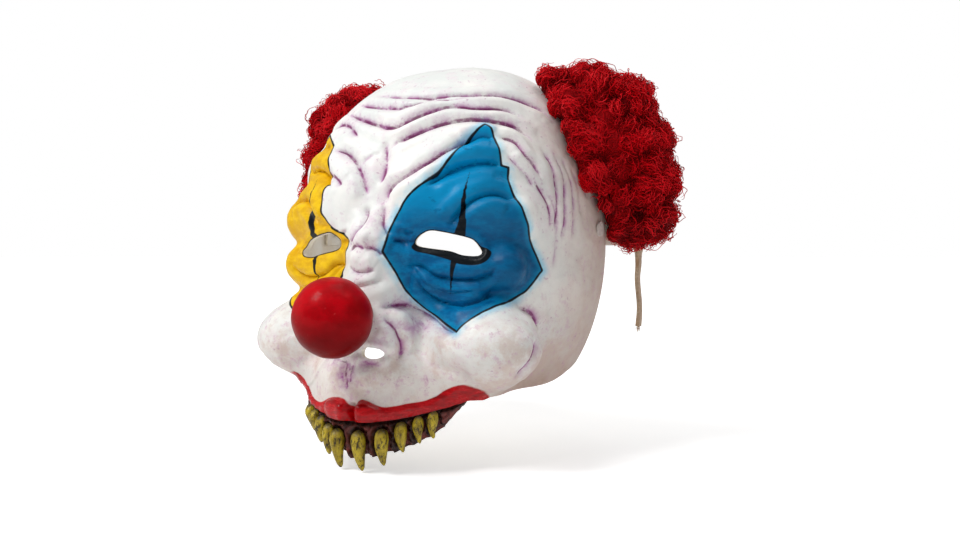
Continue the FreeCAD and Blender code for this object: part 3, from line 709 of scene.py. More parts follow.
class Nodes:
    """Short ways to build a material from nodes."""

    def __init__(self, name):
        self.material = bpy.data.materials.new(name)
        self.material.use_nodes = True
        self.tree = self.material.node_tree
        self.shader = self.tree.nodes["Principled BSDF"]
        self.where = self.node("ShaderNodeTexCoord").outputs["Object"]

    def node(self, kind, **settings):
        made = self.tree.nodes.new(kind)
        for key, value in settings.items():
            setattr(made, key, value)
        return made

    def link(self, value, socket):
        if isinstance(value, bpy.types.NodeSocket):
            self.tree.links.new(value, socket)
        else:
            socket.default_value = value

    def math(self, operation, *values, clamp=False):
        made = self.node("ShaderNodeMath", operation=operation, use_clamp=clamp)
        for value, socket in zip(values, made.inputs):
            self.link(value, socket)
        return made.outputs[0]

    def times(self, a, b, clamp=False):
        return self.math("MULTIPLY", a, b, clamp=clamp)

    def plus(self, a, b):
        return self.math("ADD", a, b)

    def minus(self, a, b):
        return self.math("SUBTRACT", a, b)

    def most(self, a, b):
        return self.math("MAXIMUM", a, b)

    def least(self, a, b):
        return self.math("MINIMUM", a, b)

    def attribute(self, name):
        return self.node("ShaderNodeAttribute", attribute_name=name).outputs["Fac"]

    def axes(self):
        """The place's x, y and z, in metres."""
        made = self.node("ShaderNodeSeparateXYZ")
        self.link(self.where, made.inputs[0])
        return made.outputs["X"], made.outputs["Y"], made.outputs["Z"]

    def stretched(self, *scale):
        """The place, stretched along the axes."""
        made = self.node("ShaderNodeMapping")
        self.link(self.where, made.inputs["Vector"])
        made.inputs["Scale"].default_value = scale
        return made.outputs[0]

    def noise(self, scale, detail=4.0, roughness=0.55, place=None):
        made = self.node("ShaderNodeTexNoise")
        self.link(place or self.where, made.inputs["Vector"])
        made.inputs["Scale"].default_value = scale
        made.inputs["Detail"].default_value = detail
        made.inputs["Roughness"].default_value = roughness
        return made.outputs["Fac"]

    def ribs(self, direction, scale, distortion=0.0):
        made = self.node("ShaderNodeTexWave", bands_direction=direction)
        self.link(self.where, made.inputs["Vector"])
        made.inputs["Scale"].default_value = scale
        made.inputs["Distortion"].default_value = distortion
        return made.outputs["Fac"]

    def step(self, value, low, high):
        """Rises from 0 at low to 1 at high, either way round."""
        made = self.node("ShaderNodeMapRange", interpolation_type="SMOOTHSTEP")
        self.link(value, made.inputs["Value"])
        made.inputs["From Min"].default_value = low
        made.inputs["From Max"].default_value = high
        return made.outputs["Result"]

    def mix(self, share, a, b):
        """Blend of two colours."""
        made = self.node("ShaderNodeMix", data_type="RGBA")
        self.link(share, made.inputs[0])
        self.link(a, made.inputs[6])
        self.link(b, made.inputs[7])
        return made.outputs[2]

    def between(self, share, a, b):
        """Blend of two numbers."""
        made = self.node("ShaderNodeMix", data_type="FLOAT")
        self.link(share, made.inputs[0])
        self.link(a, made.inputs[2])
        self.link(b, made.inputs[3])
        return made.outputs[0]

    def bump(self, height, depth, strength=1.0):
        made = self.node("ShaderNodeBump")
        made.inputs["Distance"].default_value = depth * MM
        made.inputs["Strength"].default_value = strength
        self.link(height, made.inputs["Height"])
        self.link(made.outputs[0], self.shader.inputs["Normal"])

    def finish(self, color, roughness, **inputs):
        self.link(color, self.shader.inputs["Base Color"])
        self.link(roughness, self.shader.inputs["Roughness"])
        for key, value in inputs.items():
            self.link(value, self.shader.inputs[key.replace("_", " ")])
        return self.material


def soiled_white(n, blotch, patch):
    """White paint, with tan and painted shade behind and low down, grime and painted shade under the
    cheeks, and blush.
    """
    _, y, z = n.axes()
    color = n.mix(n.step(blotch, 0.38, 0.66), srgb(228, 231, 228), srgb(244, 243, 238))
    color = n.mix(n.times(n.step(patch, 0.48, 0.68), 0.34), color, srgb(230, 205, 217))
    # Tan behind, low down and under the jaw: partly the latex's own tan, partly painted shade where the
    # skin faces down and away from the lamps.
    rear = n.times(n.step(y, -0.070, -0.005), n.step(z, 0.085, 0.045))
    low = n.step(z, -0.030, -0.082)
    jaw_tan_and_shade = n.times(low, n.step(y, -0.098, -0.066))
    tan = n.most(n.times(rear, 0.72), n.times(low, 0.34))
    tan = n.most(tan, n.times(jaw_tan_and_shade, 0.95))
    tan = n.times(tan, n.plus(0.65, n.times(patch, 0.7)), clamp=True)
    color = n.mix(tan, color, srgb(190, 160, 144))
    # Mottled tan low on the face: grime, and painted shade under the cheeks.
    grime_and_shade = n.times(n.step(n.noise(60.0, 7.0, 0.72), 0.44, 0.64), n.step(z, -0.022, -0.056))
    color = n.mix(n.times(grime_and_shade, 0.66), color, srgb(204, 180, 168))
    dusted = n.most(n.step(z, 0.0, -0.050), n.times(rear, 0.85))
    blush = n.times(n.step(n.noise(210.0, 6.0, 0.75), 0.52, 0.68), dusted)
    return n.mix(n.times(blush, 0.52), color, srgb(200, 152, 180))


def purple_wash(n, color, stain, drawn, patch):
    """Purple that has settled round the creases, their lines and freckles."""
    color = n.mix(n.step(stain, 0.0, 0.70), color, srgb(182, 116, 170))
    color = n.mix(n.times(n.step(stain, 0.52, 0.92), 0.80), color, srgb(112, 36, 88))
    color = n.mix(drawn, color, srgb(122, 42, 94))
    freckle = n.times(n.step(n.noise(520.0, 2.0, 0.5), 0.60, 0.74), n.step(patch, 0.44, 0.62))
    return n.mix(n.times(freckle, 0.50), color, srgb(168, 108, 152))


def blue_paint(n, brush, blotch, patch, stain, drawn):
    """Brushed blue, with painted light on its upper part over the eye, brighter paint along its border and
    painted shade outwards.
    """
    x, _, z = n.axes()
    blue = n.mix(n.step(brush, 0.34, 0.68), srgb(0, 88, 140), srgb(0, 126, 180))
    blue = n.mix(n.times(n.step(blotch, 0.42, 0.70), 0.5), blue, srgb(0, 74, 122))
    blue = n.mix(n.step(stain, 0.05, 0.80), blue, srgb(2, 52, 98))
    # Painted light: the upper part of the blue, over the eye, is lighter where it faces up to the lamps.
    blue = n.mix(n.times(n.step(z, 0.004, 0.028), 0.70), blue, srgb(0, 152, 208))
    # Painted shade: the blue darkens outwards, on the side turned away from the key lamp.
    blue = n.mix(n.times(n.step(x, 0.044, 0.070), 0.50), blue, srgb(0, 62, 100))
    blue = n.mix(n.times(n.step(brush, 0.58, 0.68), 0.45), blue, srgb(0, 66, 108))
    border = n.times(n.step(n.attribute("diamond"), -4.0, -0.4), n.plus(0.2, patch))
    blue = n.mix(n.times(border, 0.60), blue, srgb(0, 152, 200))
    return n.mix(n.times(drawn, 0.35), blue, srgb(2, 40, 78))


def gold_paint(n, brush, stain):
    gold = n.mix(n.step(brush, 0.36, 0.68), srgb(220, 168, 4), srgb(240, 196, 20))
    return n.mix(n.times(n.step(stain, 0.05, 0.80), 0.8), gold, srgb(150, 104, 8))


def ink_lines(n, wobble):
    """Where the black is: round both eye paints, in the spikes and by the left eye."""
    outlines = [n.math("ABSOLUTE", n.attribute(name)) for name in ("diamond", "yellow")]
    line = n.least(n.least(*outlines), n.plus(n.attribute("spike"), 0.45))
    line = n.plus(line, n.times(wobble, 0.35))
    band = n.minus(n.attribute("eye_gap"), n.attribute("eye_band"))
    return n.step(n.least(line, band), 0.85, 0.35)


def painted_latex():
    """White latex with purple creases, blue and yellow eye paint and a red lip."""
    n = Nodes("painted_latex")
    wobble = n.times(n.minus(n.noise(260.0, 3.0), 0.5), 1.3)
    blotch, patch = n.noise(28.0, 5.0, 0.6), n.noise(95.0, 6.0, 0.65)
    brush = n.noise(120.0, 6.0, 0.66, n.stretched(0.9, 1.0, 1.8))
    streak = n.noise(170.0, 5.0, 0.65, n.stretched(0.6, 0.8, 2.2))
    broken = n.step(n.noise(130.0, 5.0, 0.7), 0.36, 0.62)
    stain = n.times(n.attribute("wash"), n.plus(0.26, n.times(broken, 0.90)), clamp=True)
    dashes = n.step(n.noise(135.0, 4.0, 0.6), 0.42, 0.56)
    near_line = n.step(n.plus(n.attribute("crease"), n.times(wobble, 0.30)), 0.84, 0.40)
    drawn = n.times(near_line, n.plus(0.16, n.times(dashes, 0.66)))
    in_blue = n.step(n.plus(n.attribute("diamond"), wobble), 0.25, -0.25)
    in_gold = n.step(n.plus(n.attribute("yellow"), wobble), 0.25, -0.25)
    lip = n.step(n.plus(n.attribute("lip"), n.times(wobble, 0.4)), 0.3, -0.3)

    color = purple_wash(n, soiled_white(n, blotch, patch), stain, drawn, patch)
    halo = n.times(n.step(n.attribute("diamond"), 5.5, 0.0), n.step(patch, 0.26, 0.60))
    color = n.mix(n.times(halo, 0.70), color, srgb(92, 204, 238))
    color = n.mix(in_blue, color, blue_paint(n, brush, blotch, patch, stain, drawn))
    color = n.mix(in_gold, color, gold_paint(n, brush, stain))
    color = n.mix(ink_lines(n, wobble), color, srgb(10, 16, 22))
    red = n.mix(n.step(streak, 0.32, 0.68), srgb(140, 0, 6), srgb(196, 0, 14))
    color = n.mix(lip, color, red)

    painted_eye = n.most(in_blue, in_gold)
    paint = n.most(painted_eye, lip)
    rough = n.plus(n.between(painted_eye, 0.46, 0.36), n.times(n.minus(patch, 0.5), 0.25))
    rough = n.between(lip, rough, n.between(streak, 0.14, 0.38))
    grain = n.plus(n.times(patch, 0.7), n.times(n.noise(900.0, 3.0, 0.6), 0.3))
    n.bump(n.between(paint, grain, brush), 0.55, 0.55)
    return n.finish(color, rough, Specular_IOR_Level=n.between(paint, 0.35, 0.14),
                    Coat_Weight=n.times(lip, 0.30), Coat_Roughness=0.10)


def raw_latex():
    """Unpainted inside of the skin, cream with yellowed drips."""
    n = Nodes("raw_latex")
    drip = n.noise(60.0, 6.0, 0.6, n.stretched(1.6, 1.0, 0.5))
    color = n.mix(n.step(drip, 0.35, 0.72), srgb(250, 246, 236), srgb(236, 224, 204))
    color = n.mix(n.times(n.step(n.noise(320.0, 4.0), 0.55, 0.75), 0.35), color, srgb(250, 246, 234))
    n.bump(n.noise(420.0, 5.0, 0.65), 0.6, 0.6)
    return n.finish(color, n.between(drip, 0.45, 0.72))


def nose_paint():
    """Brushed red, darker underneath, partly darker paint and partly painted shade."""
    n = Nodes("nose_paint")
    brush = n.noise(70.0, 6.0, 0.62, n.stretched(1.0, 1.0, 1.8))
    fleck = n.noise(520.0, 3.0)
    # Darker underneath: partly darker paint, partly painted shade.
    low = n.step(n.axes()[2], -0.026, -0.050)
    color = n.mix(n.step(brush, 0.32, 0.70), srgb(152, 0, 8), srgb(190, 0, 16))
    color = n.mix(n.times(low, 0.80), color, srgb(92, 0, 2))
    color = n.mix(n.times(n.step(fleck, 0.68, 0.76), 0.20), color, srgb(226, 92, 92))
    height = n.plus(n.times(brush, 0.8), n.times(fleck, 0.2))
    n.bump(height, 0.7, 0.5)
    return n.finish(color, n.between(brush, 0.30, 0.46), Specular_IOR_Level=0.05, Coat_Weight=0.05,
                    Coat_Roughness=0.08)


def gum_paint():
    """Brown-red gum, nearly black in its dark places, which include painted shade under the lip's edge."""
    n = Nodes("gum_paint")
    grain = n.noise(240.0, 6.0, 0.65)
    color = n.mix(n.step(grain, 0.35, 0.68), srgb(62, 20, 16), srgb(128, 54, 46))
    # The dark attribute holds painted shade under the lip's edge and the dark round every tooth.
    dark = n.times(n.attribute("dark"), n.plus(0.60, n.times(grain, 0.6)), clamp=True)
    color = n.mix(dark, color, srgb(12, 7, 6))
    n.bump(grain, 0.9, 0.8)
    return n.finish(color, n.between(grain, 0.22, 0.55), Specular_IOR_Level=0.25, Coat_Weight=0.2,
                    Coat_Roughness=0.2)


def tooth_resin():
    """Yellowed resin with dark pits and a dark root."""
    n = Nodes("tooth_resin")
    grain = n.noise(210.0, 6.0, 0.7, n.stretched(1.5, 1.5, 0.55))
    stain = n.noise(290.0, 6.0, 0.80, n.stretched(1.4, 1.4, 0.7))
    color = n.mix(n.step(grain, 0.32, 0.68), srgb(136, 114, 18), srgb(206, 182, 46))
    color = n.mix(n.step(stain, 0.49, 0.60), color, srgb(46, 34, 14))
    color = n.mix(n.times(n.attribute("root"), 0.85), color, srgb(36, 26, 14))
    n.bump(n.plus(grain, stain), 0.6, 0.7)
    return n.finish(color, n.between(stain, 0.24, 0.5), Specular_IOR_Level=0.3, Coat_Weight=0.15,
                    Coat_Roughness=0.2)


def curl_fibre():
    """Red fibre, with painted shade deep in the tuft."""
    n = Nodes("curl_fibre")
    # The shade attribute is painted shade: low deep in the tuft, high at its outside.
    shade = n.attribute("shade")
    color = n.mix(n.step(shade, 0.0, 0.55), srgb(98, 0, 4), srgb(174, 0, 10))
    color = n.mix(n.step(shade, 0.55, 1.0), color, srgb(210, 4, 20))
    n.bump(n.noise(2600.0, 2.0), 0.1, 0.4)
    return n.finish(color, n.between(shade, 0.66, 0.54), Specular_IOR_Level=0.12)


def hair_base():
    """Bunches of wool whose strands circle the middle of each bunch."""
    n = Nodes("hair_base")
    cells = n.node("ShaderNodeTexVoronoi")
    n.link(n.where, cells.inputs["Vector"])
    cells.inputs["Scale"].default_value = 105.0
    bend = n.noise(260.0, 4.0, 0.6)
    ring = n.plus(n.times(cells.outputs["Distance"], 34.0), n.times(bend, 9.0))
    strand = n.plus(n.times(n.math("SINE", ring), 0.5), 0.5)
    # Painted shade: the shade attribute darkens the bunches deep in the tuft.
    shade = n.attribute("shade")
    color = n.mix(shade, srgb(94, 0, 4), srgb(178, 0, 10))
    color = n.mix(n.times(n.step(strand, 0.9, 0.1), 0.45), color, srgb(98, 0, 4))
    n.bump(strand, 1.2, 1.0)
    return n.finish(color, 0.75, Specular_IOR_Level=0.08)


def elastic_weave():
    """Flat knitted elastic: ribs along the band, crossed by rows of thread."""
    n = Nodes("elastic_weave")
    weave = n.times(n.ribs("Y", 290.0), n.ribs("Z", 420.0, 1.5))
    dirt = n.noise(160.0, 5.0, 0.6)
    color = n.mix(weave, srgb(184, 150, 118), srgb(238, 216, 188))
    color = n.mix(n.times(n.step(dirt, 0.5, 0.7), 0.4), color, srgb(150, 108, 74))
    n.bump(weave, 0.35, 0.9)
    return n.finish(color, 0.85, Sheen_Weight=0.3)


def worn(name, dark, light, roughness, metallic=1.0):
    """Metal or enamel with fine wear."""
    n = Nodes(name)
    wear = n.noise(700.0, 5.0, 0.6)
    color = n.mix(n.step(wear, 0.35, 0.7), dark, light)
    n.bump(wear, 0.08, 0.6)
    return n.finish(color, n.between(wear, roughness, roughness + 0.2), Metallic=metallic)


def floor_paint():
    """Pale floor that fades into the white surround away from the object."""
    n = Nodes("floor_paint")
    color = n.mix(n.noise(3.0, 3.0), srgb(250, 250, 250), srgb(254, 254, 254))
    n.link(color, n.shader.inputs["Emission Color"])
    seen = n.node("ShaderNodeLightPath").outputs["Is Camera Ray"]
    away = n.node("ShaderNodeVectorMath", operation="LENGTH")
    n.link(n.where, away.inputs[0])
    glow = n.between(n.step(away.outputs["Value"], 0.3, 1.6), 0.42, 1.0)
    return n.finish(color, 0.9, Emission_Strength=n.times(seen, glow))


# ---- nose ----
def sphere_grid(rings, spokes):
    """Directions over a sphere whose poles lie on the Y axis, and faces between them."""
    polar = np.linspace(0.0, math.pi, rings)
    turn = np.linspace(0.0, 2 * math.pi, spokes, endpoint=False)
    a, b = np.meshgrid(polar, turn, indexing="ij")
    directions = np.stack([np.sin(a) * np.cos(b), -np.cos(a), np.sin(a) * np.sin(b)], -1)
    return directions.reshape(-1, 3), barrel(rings, spokes)[1]


def bulb_nose(material):
    """Slightly uneven ball that narrows into a neck where it enters the face."""
    directions, faces = sphere_grid(120, 150)
    x, y, z = directions.T
    dents = 0.12 * np.sin(5 * x + 3 * np.sin(4 * z)) + 0.08 * np.sin(7 * z + 2 * np.sin(6 * x + 3 * y))
    seam = -0.35 * np.exp(-((x + 0.04) / 0.03) ** 2) * smooth(0.2, 0.7, y)
    points = NOSE + directions * (NOSE_RADIUS - 0.3 + dents + seam)[:, None]
    axial = points[:, 1] - NOSE[1]
    behind = smooth(15.0, 19.5, axial)
    ring = np.maximum(np.hypot(points[:, 0], points[:, 2] - NOSE[2]), 1e-6)
    neck = np.minimum(1.0, (NECK_RADIUS - 0.05) / ring)
    neck_scale = 1.0 - behind * (1.0 - neck)
    points[:, 0] *= neck_scale
    points[:, 2] = NOSE[2] + (points[:, 2] - NOSE[2]) * neck_scale
    points[:, 1] += behind * 10.0
    return new_object("bulb_nose", points, faces, material)


# ---- gum and teeth ----
# each tooth: place across at the gum, lean of its tip, gum line, tip, radius
TEETH = (
    (4.0, 2.2, -95.5, -114.6, 4.1), (16.9, 0.6, -93.8, -111.1, 3.9), (25.7, 0.7, -90.0, -104.2, 3.4),
    (33.0, 0.4, -87.0, -99.8, 2.9), (38.8, -0.2, -84.8, -97.5, 2.9),
    (-9.6, 2.4, -95.8, -114.4, 4.0), (-15.9, 0.4, -94.0, -109.0, 3.2), (-22.6, 0.2, -91.0, -104.0, 3.1),
    (-28.8, 0.2, -88.6, -99.4, 3.0), (-34.6, 0.2, -86.6, -96.8, 2.9),
)


def arch_y(x, radius):
    """Depth of an arch of the given radius in front of the muzzle's axis."""
    return MUZZLE_Y - np.sqrt(np.maximum(radius ** 2 - np.square(x), 1.0))


def fang(number, place, material):
    """Tooth with a narrow root, a full crown and a blunt tip that leans a little."""
    x, lean, gum_z, tip_z, radius = place
    rings, spokes = 26, 20
    t = np.linspace(0.0, 1.0, rings)
    width = np.interp(t, [0, 0.03, 0.10, 0.28, 0.5, 0.72, 0.92, 1.0],
                      [0.2, 0.50, 0.80, 0.98, 0.86, 0.60, 0.38, 0.14])
    turn = np.linspace(0.0, 2 * math.pi, spokes, endpoint=False)
    fluting = 1.0 + 0.05 * np.cos(3 * turn + number) + 0.03 * np.cos(7 * turn + 2 * number)
    points = []
    for share, w in zip(t, width):
        bow = 1.3 * math.sin(math.pi * share)
        cx = x + lean * share
        cy = arch_y(cx, TOOTH_ARCH + bow + 0.4)
        cz = gum_z + 1.0 + (tip_z - gum_z - 1.0) * share
        ridge = 1.0 + 0.04 * math.sin(9 * share + number)
        r = radius * w * fluting * ridge
        points.append(np.column_stack([cx + r * np.cos(turn), cy + r * np.sin(turn), np.full(spokes, cz)]))
    index, quads = barrel(rings, spokes)
    faces = quads[:, [0, 3, 2, 1]].tolist() + [index[0].tolist(), index[-1, ::-1].tolist()]
    obj = new_object("fang_%d" % number, np.vstack(points), faces, material)
    carry(obj, "root", np.repeat(1.0 - smooth(0.0, 0.20, t), spokes))
    return obj


def gum_bottom(x):
    """Level of the gum's ragged lower edge."""
    level = np.interp(x, [-46, -38, -30, -20, -12, -2, 12, 21, 29, 36, 41.5, 47],
                      [-82.5, -94.5, -98.5, -103, -107, -109.5, -107.5, -105.5, -102, -98, -92.5, -82.5])
    for place in TEETH:
        level = level + 1.4 * np.exp(-((x - place[0] - 0.6 * place[1]) / (place[4] * 0.8)) ** 2)
    return level


def gum_front(x, z):
    """Radius and darkness of the gum: painted shade under the lip's edge, and sunk and dark round every
    tooth.
    """
    hidden_radius = 51.3        # behind the lip
    below = smooth(0.2, 2.6, (lower_edge(x) - 0.3) - z)
    radius = hidden_radius + (GUM_FRONT_RADIUS - 0.6 - hidden_radius) * below
    # Painted shade where the gum goes in under the lip's edge.
    dark = 0.85 * np.exp(-((z - lower_edge(x) + 1.5) / 1.6) ** 2)
    for across, lean, gum_z, tip_z, r in TEETH:
        centre = across + lean * np.clip((gum_z - z) / (gum_z - tip_z), 0, 1)
        beside = (x - centre) / np.cos(np.arcsin(across / TOOTH_ARCH)) * 0.9
        gap = np.hypot(beside, np.maximum(z - gum_z + 2.0, 0.0))
        collar = np.exp(-((gap - r - 1.5) / 1.2) ** 2)
        pit = np.exp(-(gap / (r + 0.3)) ** 4)
        radius = radius + below * (0.9 * collar - 2.6 * pit)
        dark = np.maximum(dark, np.exp(-((gap - r) / 1.5) ** 2))
    return radius + 0.5 * np.sin(x * 1.9 + 2 * np.sin(z * 0.9)) * below, dark


def gum(material):
    """Ragged arch that shows under the lip."""
    across, down = 260, 44
    rear_radius, rear_share, rear_dark = 45.5, 0.93, 0.7
    x = np.broadcast_to(np.linspace(-47.0, 47.0, across), (down, across))
    shares = np.linspace(0.0, 1.0, down)[:, None]
    top = lower_edge(x) + 7.0
    z = top + (gum_bottom(x) - top) * shares
    radius, dark = gum_front(x, z)
    rounding = 2.2 * smooth(0.86, 1.0, shares)
    front = np.stack([x, arch_y(x, radius - rounding), z], -1)
    rear_x = x * rear_share
    back = np.stack([rear_x, arch_y(rear_x, rear_radius), z + 0.6 * shares], -1)
    count = across * down
    index, quads = sheet(down, across)
    rear = quads[:, ::-1] + count
    edges = []
    for line in (index[0, ::-1], index[:, 0], index[-1], index[::-1, -1]):
        edges += [(b, a, a + count, b + count) for a, b in zip(line[:-1], line[1:])]
    points = np.vstack([front.reshape(-1, 3), back.reshape(-1, 3)])
    obj = new_object("gum", points, [*quads.tolist(), *rear.tolist(), *edges], material)
    carry(obj, "dark", np.concatenate([dark.ravel(), np.full(count, rear_dark)]))
    return obj


# ---- hair ----
LOCKS = np.array([
    (64, -6, 87, 15), (80, 2, 83, 20), (98, 8, 76, 20), (104, 12, 55, 22), (107, 14, 34, 22),
    (104, 16, 17, 21), (113, 12, 15, 15), (76, -16, 74, 14), (84, -21, 56, 14), (90, -15, 38, 14),
    (96, -2, 24, 15), (86, 20, 74, 18), (96, 26, 44, 19), (100, 6, 9, 13),
], float)
# matted hair that closes the core between its front and rear locks
FILLERS = (
    (84, -4, 78, 9.5), (89, -5, 68, 10.5), (93, -4, 54, 11.5), (95, -3, 40, 11.5), (97, 0, 28, 10.0),
)
CORE_SHRINK = 6.5           # curls' middles lie this deep under the outside of the tuft


def fan_free(points):
    """How far points are outside the room of the tab, its rivet and the swinging band."""
    x, y, z = points.T
    inner_x = np.interp(y, [-16.0, -15.0, -5.0, -4.0, 2.4, 8.0, 13.7, 18.0, 18.5, 60.0],
                        [60.0, 92.8, 92.8, 88.6, 88.6, 90.6, 94.6, 98.2, 103.9, 103.9])
    return np.maximum(x - inner_x, z - 18.0)


def pushed_out(points):
    """One step of moving points out of the head and out of the band's room."""
    points = points.copy()
    sunk = face(points) - 0.4
    held = sunk < 0.0
    points[held] -= np.clip(sunk[held], -6.0, 0.0)[:, None] * unit(gradient(points[held]))
    short = fan_free(points) - 0.4
    held = (short < 0.0) & (points[:, 1] < 60.0)
    upward = 18.4 - points[:, 2]
    rise = held & (upward < -short + 4.0)
    points[rise, 2] = 18.4
    points[held & ~rise, 0] -= short[held & ~rise]
    return points


def tuft_distance(points):
    """Distance to the outside of the tuft, negative inside it."""
    d = np.full(len(points), 99.0)
    for *centre, radius in LOCKS:
        d = blend(d, np.linalg.norm(points - centre, axis=1) - radius, 8.0)
    return d


def ringlets(spacing=6.2):
    """Curled bunches that cover the tuft, as (middle, radius, outward direction, axis)."""
    random = np.random.default_rng(7)
    chosen = random.integers(0, len(LOCKS), 9000)
    outward = unit(random.normal(size=(len(chosen), 3)))
    middles = LOCKS[chosen, :3] + outward * (LOCKS[chosen, 3] - CORE_SHRINK)[:, None]
    depth = -tuft_distance(middles)
    good = (depth < CORE_SHRINK + 2.5) & (face(middles) > 4.0) & (fan_free(middles) > 2.0)
    kept, directions = [], []
    for middle, direction in zip(middles[good], outward[good]):
        if not kept or np.linalg.norm(np.array(kept) - middle, axis=1).min() > spacing:
            kept.append(middle)
            directions.append(direction)
    kept, directions = np.array(kept), np.array(directions)
    radii = random.uniform(4.2, 6.6, len(kept))
    axes = random.normal(size=(len(kept), 3))
    axes = unit(axes - 0.7 * (axes * directions).sum(1)[:, None] * directions)
    return kept, radii, directions, axes


def hair_core(side, name, material):
    """Matted bunches under the loose curls."""
    middles, radii, _, _ = ringlets()
    spheres = [(c[:3], c[3] - CORE_SHRINK, 20, 28) for c in LOCKS]
    spheres += [(np.array(c[:3], float), c[3], 14, 20) for c in FILLERS]
    spheres += [(c, r, 9, 12) for c, r in zip(middles, radii)]
    points, faces, start = [], [], 0
    for centre, radius, rings, spokes in spheres:
        directions, quads = sphere_grid(rings, spokes)
        points.append(centre + directions * radius)
        faces += (quads + start).tolist()
        start += len(directions)
    points, faces = modified(np.vstack(points), faces, "REMESH", mode="VOXEL", voxel_size=1.3 * MM)
    for _ in range(8):
        points = pushed_out(points)
    depth = -tuft_distance(points)
    obj = new_object(name, *on_side(side, points, faces), material)
    # Painted shade: darker deeper in the tuft.
    carry(obj, "shade", smooth(8.0, 1.0, depth))
    return obj


TUBE_SIDES = 3


def tubes(path, radius):
    """Thin tubes along paths, as points and faces."""
    count, steps, _ = path.shape
    tangent = np.gradient(path, axis=1)
    tangent /= np.maximum(np.linalg.norm(tangent, axis=2), 1e-9)[:, :, None]
    a = np.cross(tangent, [0.31, 0.87, 0.38])
    a /= np.maximum(np.linalg.norm(a, axis=2), 1e-9)[:, :, None]
    b = np.cross(tangent, a)
    rings = []
    for k in range(TUBE_SIDES):
        turn = 2 * math.pi * k / TUBE_SIDES
        rings.append(path + radius[:, :, None] * (math.cos(turn) * a + math.sin(turn) * b))
    index = np.arange(count * steps * TUBE_SIDES).reshape(count, steps, TUBE_SIDES)
    after = np.roll(index, -1, axis=2)
    quads = np.stack([index[:, :-1], after[:, :-1], after[:, 1:], index[:, 1:]], -1).reshape(-1, 4)
    ends = np.concatenate([index[:, 0, ::-1], index[:, -1]])
    return np.stack(rings, 2).reshape(-1, 3), quads.tolist() + ends.tolist()


def curls(side, count, name, material, seed):
    """Crimped fibres that wind round the bunches, with some that stray."""
    random = np.random.default_rng(seed)
    middles, radii, directions, axes = ringlets()
    steps = 18
    chosen = random.integers(0, len(middles), count)
    axis = unit(axes[chosen] + 0.35 * random.normal(size=(count, 3)))
    out = directions[chosen]
    u = unit(out - (out * axis).sum(1)[:, None] * axis)
    v = np.cross(axis, u)
    t = np.linspace(0.0, 1.0, steps)
    offset = random.uniform(-0.85, 0.85, count) * radii[chosen]
    stray = random.random(count) < 0.16
    lift = np.where(stray, random.uniform(1.0, 4.2, count), random.uniform(-0.2, 1.3, count))
    middle_turn = random.normal(0.0, 0.7, count)
    sweep = random.uniform(0.7, 1.7, count)
    angle = middle_turn[:, None] + sweep[:, None] * (2 * t - 1)
    ring = np.sqrt(radii[chosen] ** 2 - offset ** 2) + 0.4
    reach = ring[:, None] + lift[:, None] * smooth(0.0, 0.6, t)
    crimp = random.uniform(0.25, 0.7, count)[:, None]
    waves = random.uniform(2.0, 4.5, count)[:, None] * 2 * math.pi * t
    waves = waves + random.uniform(0, 6.3, count)[:, None]
    reach = reach + crimp * np.cos(waves)
    along = offset[:, None] + random.normal(0.0, 1.6, count)[:, None] * t + crimp * np.sin(waves)
    path = (middles[chosen][:, None] + (reach * np.cos(angle))[:, :, None] * u[:, None]
            + (reach * np.sin(angle))[:, :, None] * v[:, None] + along[:, :, None] * axis[:, None])
    flat = path.reshape(-1, 3)
    clear = (face(flat) > 0.6) & (fan_free(flat) > 0.6)
    whole = clear.reshape(count, steps).all(1)
    path = path[whole]
    depth = -tuft_distance(path.reshape(-1, 3)).reshape(-1, steps)
    thickness = random.uniform(0.17, 0.30, count)[whole]
    points, faces = tubes(path, thickness[:, None] * (1.0 - 0.5 * t ** 3))
    obj = new_object(name, *on_side(side, points, faces), material)
    tone = random.uniform(-0.22, 0.22, count)[whole]
    # Painted shade: darker deeper in the tuft, with a random tone for every fibre.
    shade = np.clip(smooth(9.0, 0.0, depth) + tone[:, None], 0.0, 1.0)
    carry(obj, "shade", np.repeat(shade.ravel(), TUBE_SIDES))
    return obj


# ---- elastic ----
def elastic(side, name, material):
    """Folded elastic: a loop through the eyelet, stitched under it, then a double tail."""
    thick, section = 1.0, 9
    drops = np.linspace(0.0, -56.0, 90)
    spread = 2.6 * (1.0 - smooth(-5.0, -15.0, drops)) + 0.06
    sway = 0.6 * np.sin(0.17 * (drops + 18.0)) * smooth(-18.0, -28.0, drops)
    front = np.column_stack([spread + sway, drops])
    back = np.column_stack([sway - spread, drops])
    arch = [(2.66 * math.cos(a), 0.1 * math.sin(a)) for a in np.linspace(0.0, math.pi, 12)[1:-1]]
    line = np.vstack([front[::-1], arch, back])
    tangent = unit(np.gradient(line, axis=0))
    normal = np.column_stack([-tangent[:, 1], tangent[:, 0]])
    share = np.linspace(-1.0, 1.0, section)
    points = []
    for (x, z), (nx, nz) in zip(line, normal):
        narrowing = 1.1 * float(smooth(-12.0, -30.0, z))
        across = share * (3.0 - narrowing + 0.5 * float(smooth(-44.0, -56.0, z)))
        out = thick + 0.12 * (1.0 - share ** 4)
        points += [(x - nx * c, y, z - nz * c) for y, c in zip(across, out)]
        points += [(x + 0.05 * nx, y, z + 0.05 * nz) for y in across[::-1]]
    index, quads = barrel(len(line), 2 * section)
    faces = quads.tolist() + [index[0, ::-1].tolist(), index[-1].tolist()]
    fray = frayed_end(sway[-1])
    threads, thread_faces = tubes(fray, np.full(fray.shape[:2], 0.13))
    faces += [[i + len(points) for i in f] for f in thread_faces]
    points = np.vstack([points, threads]) + EYELET
    outward = [f[::-1] for f in faces]
    return new_object(name, *on_side(side, points, outward), material, 40.0)


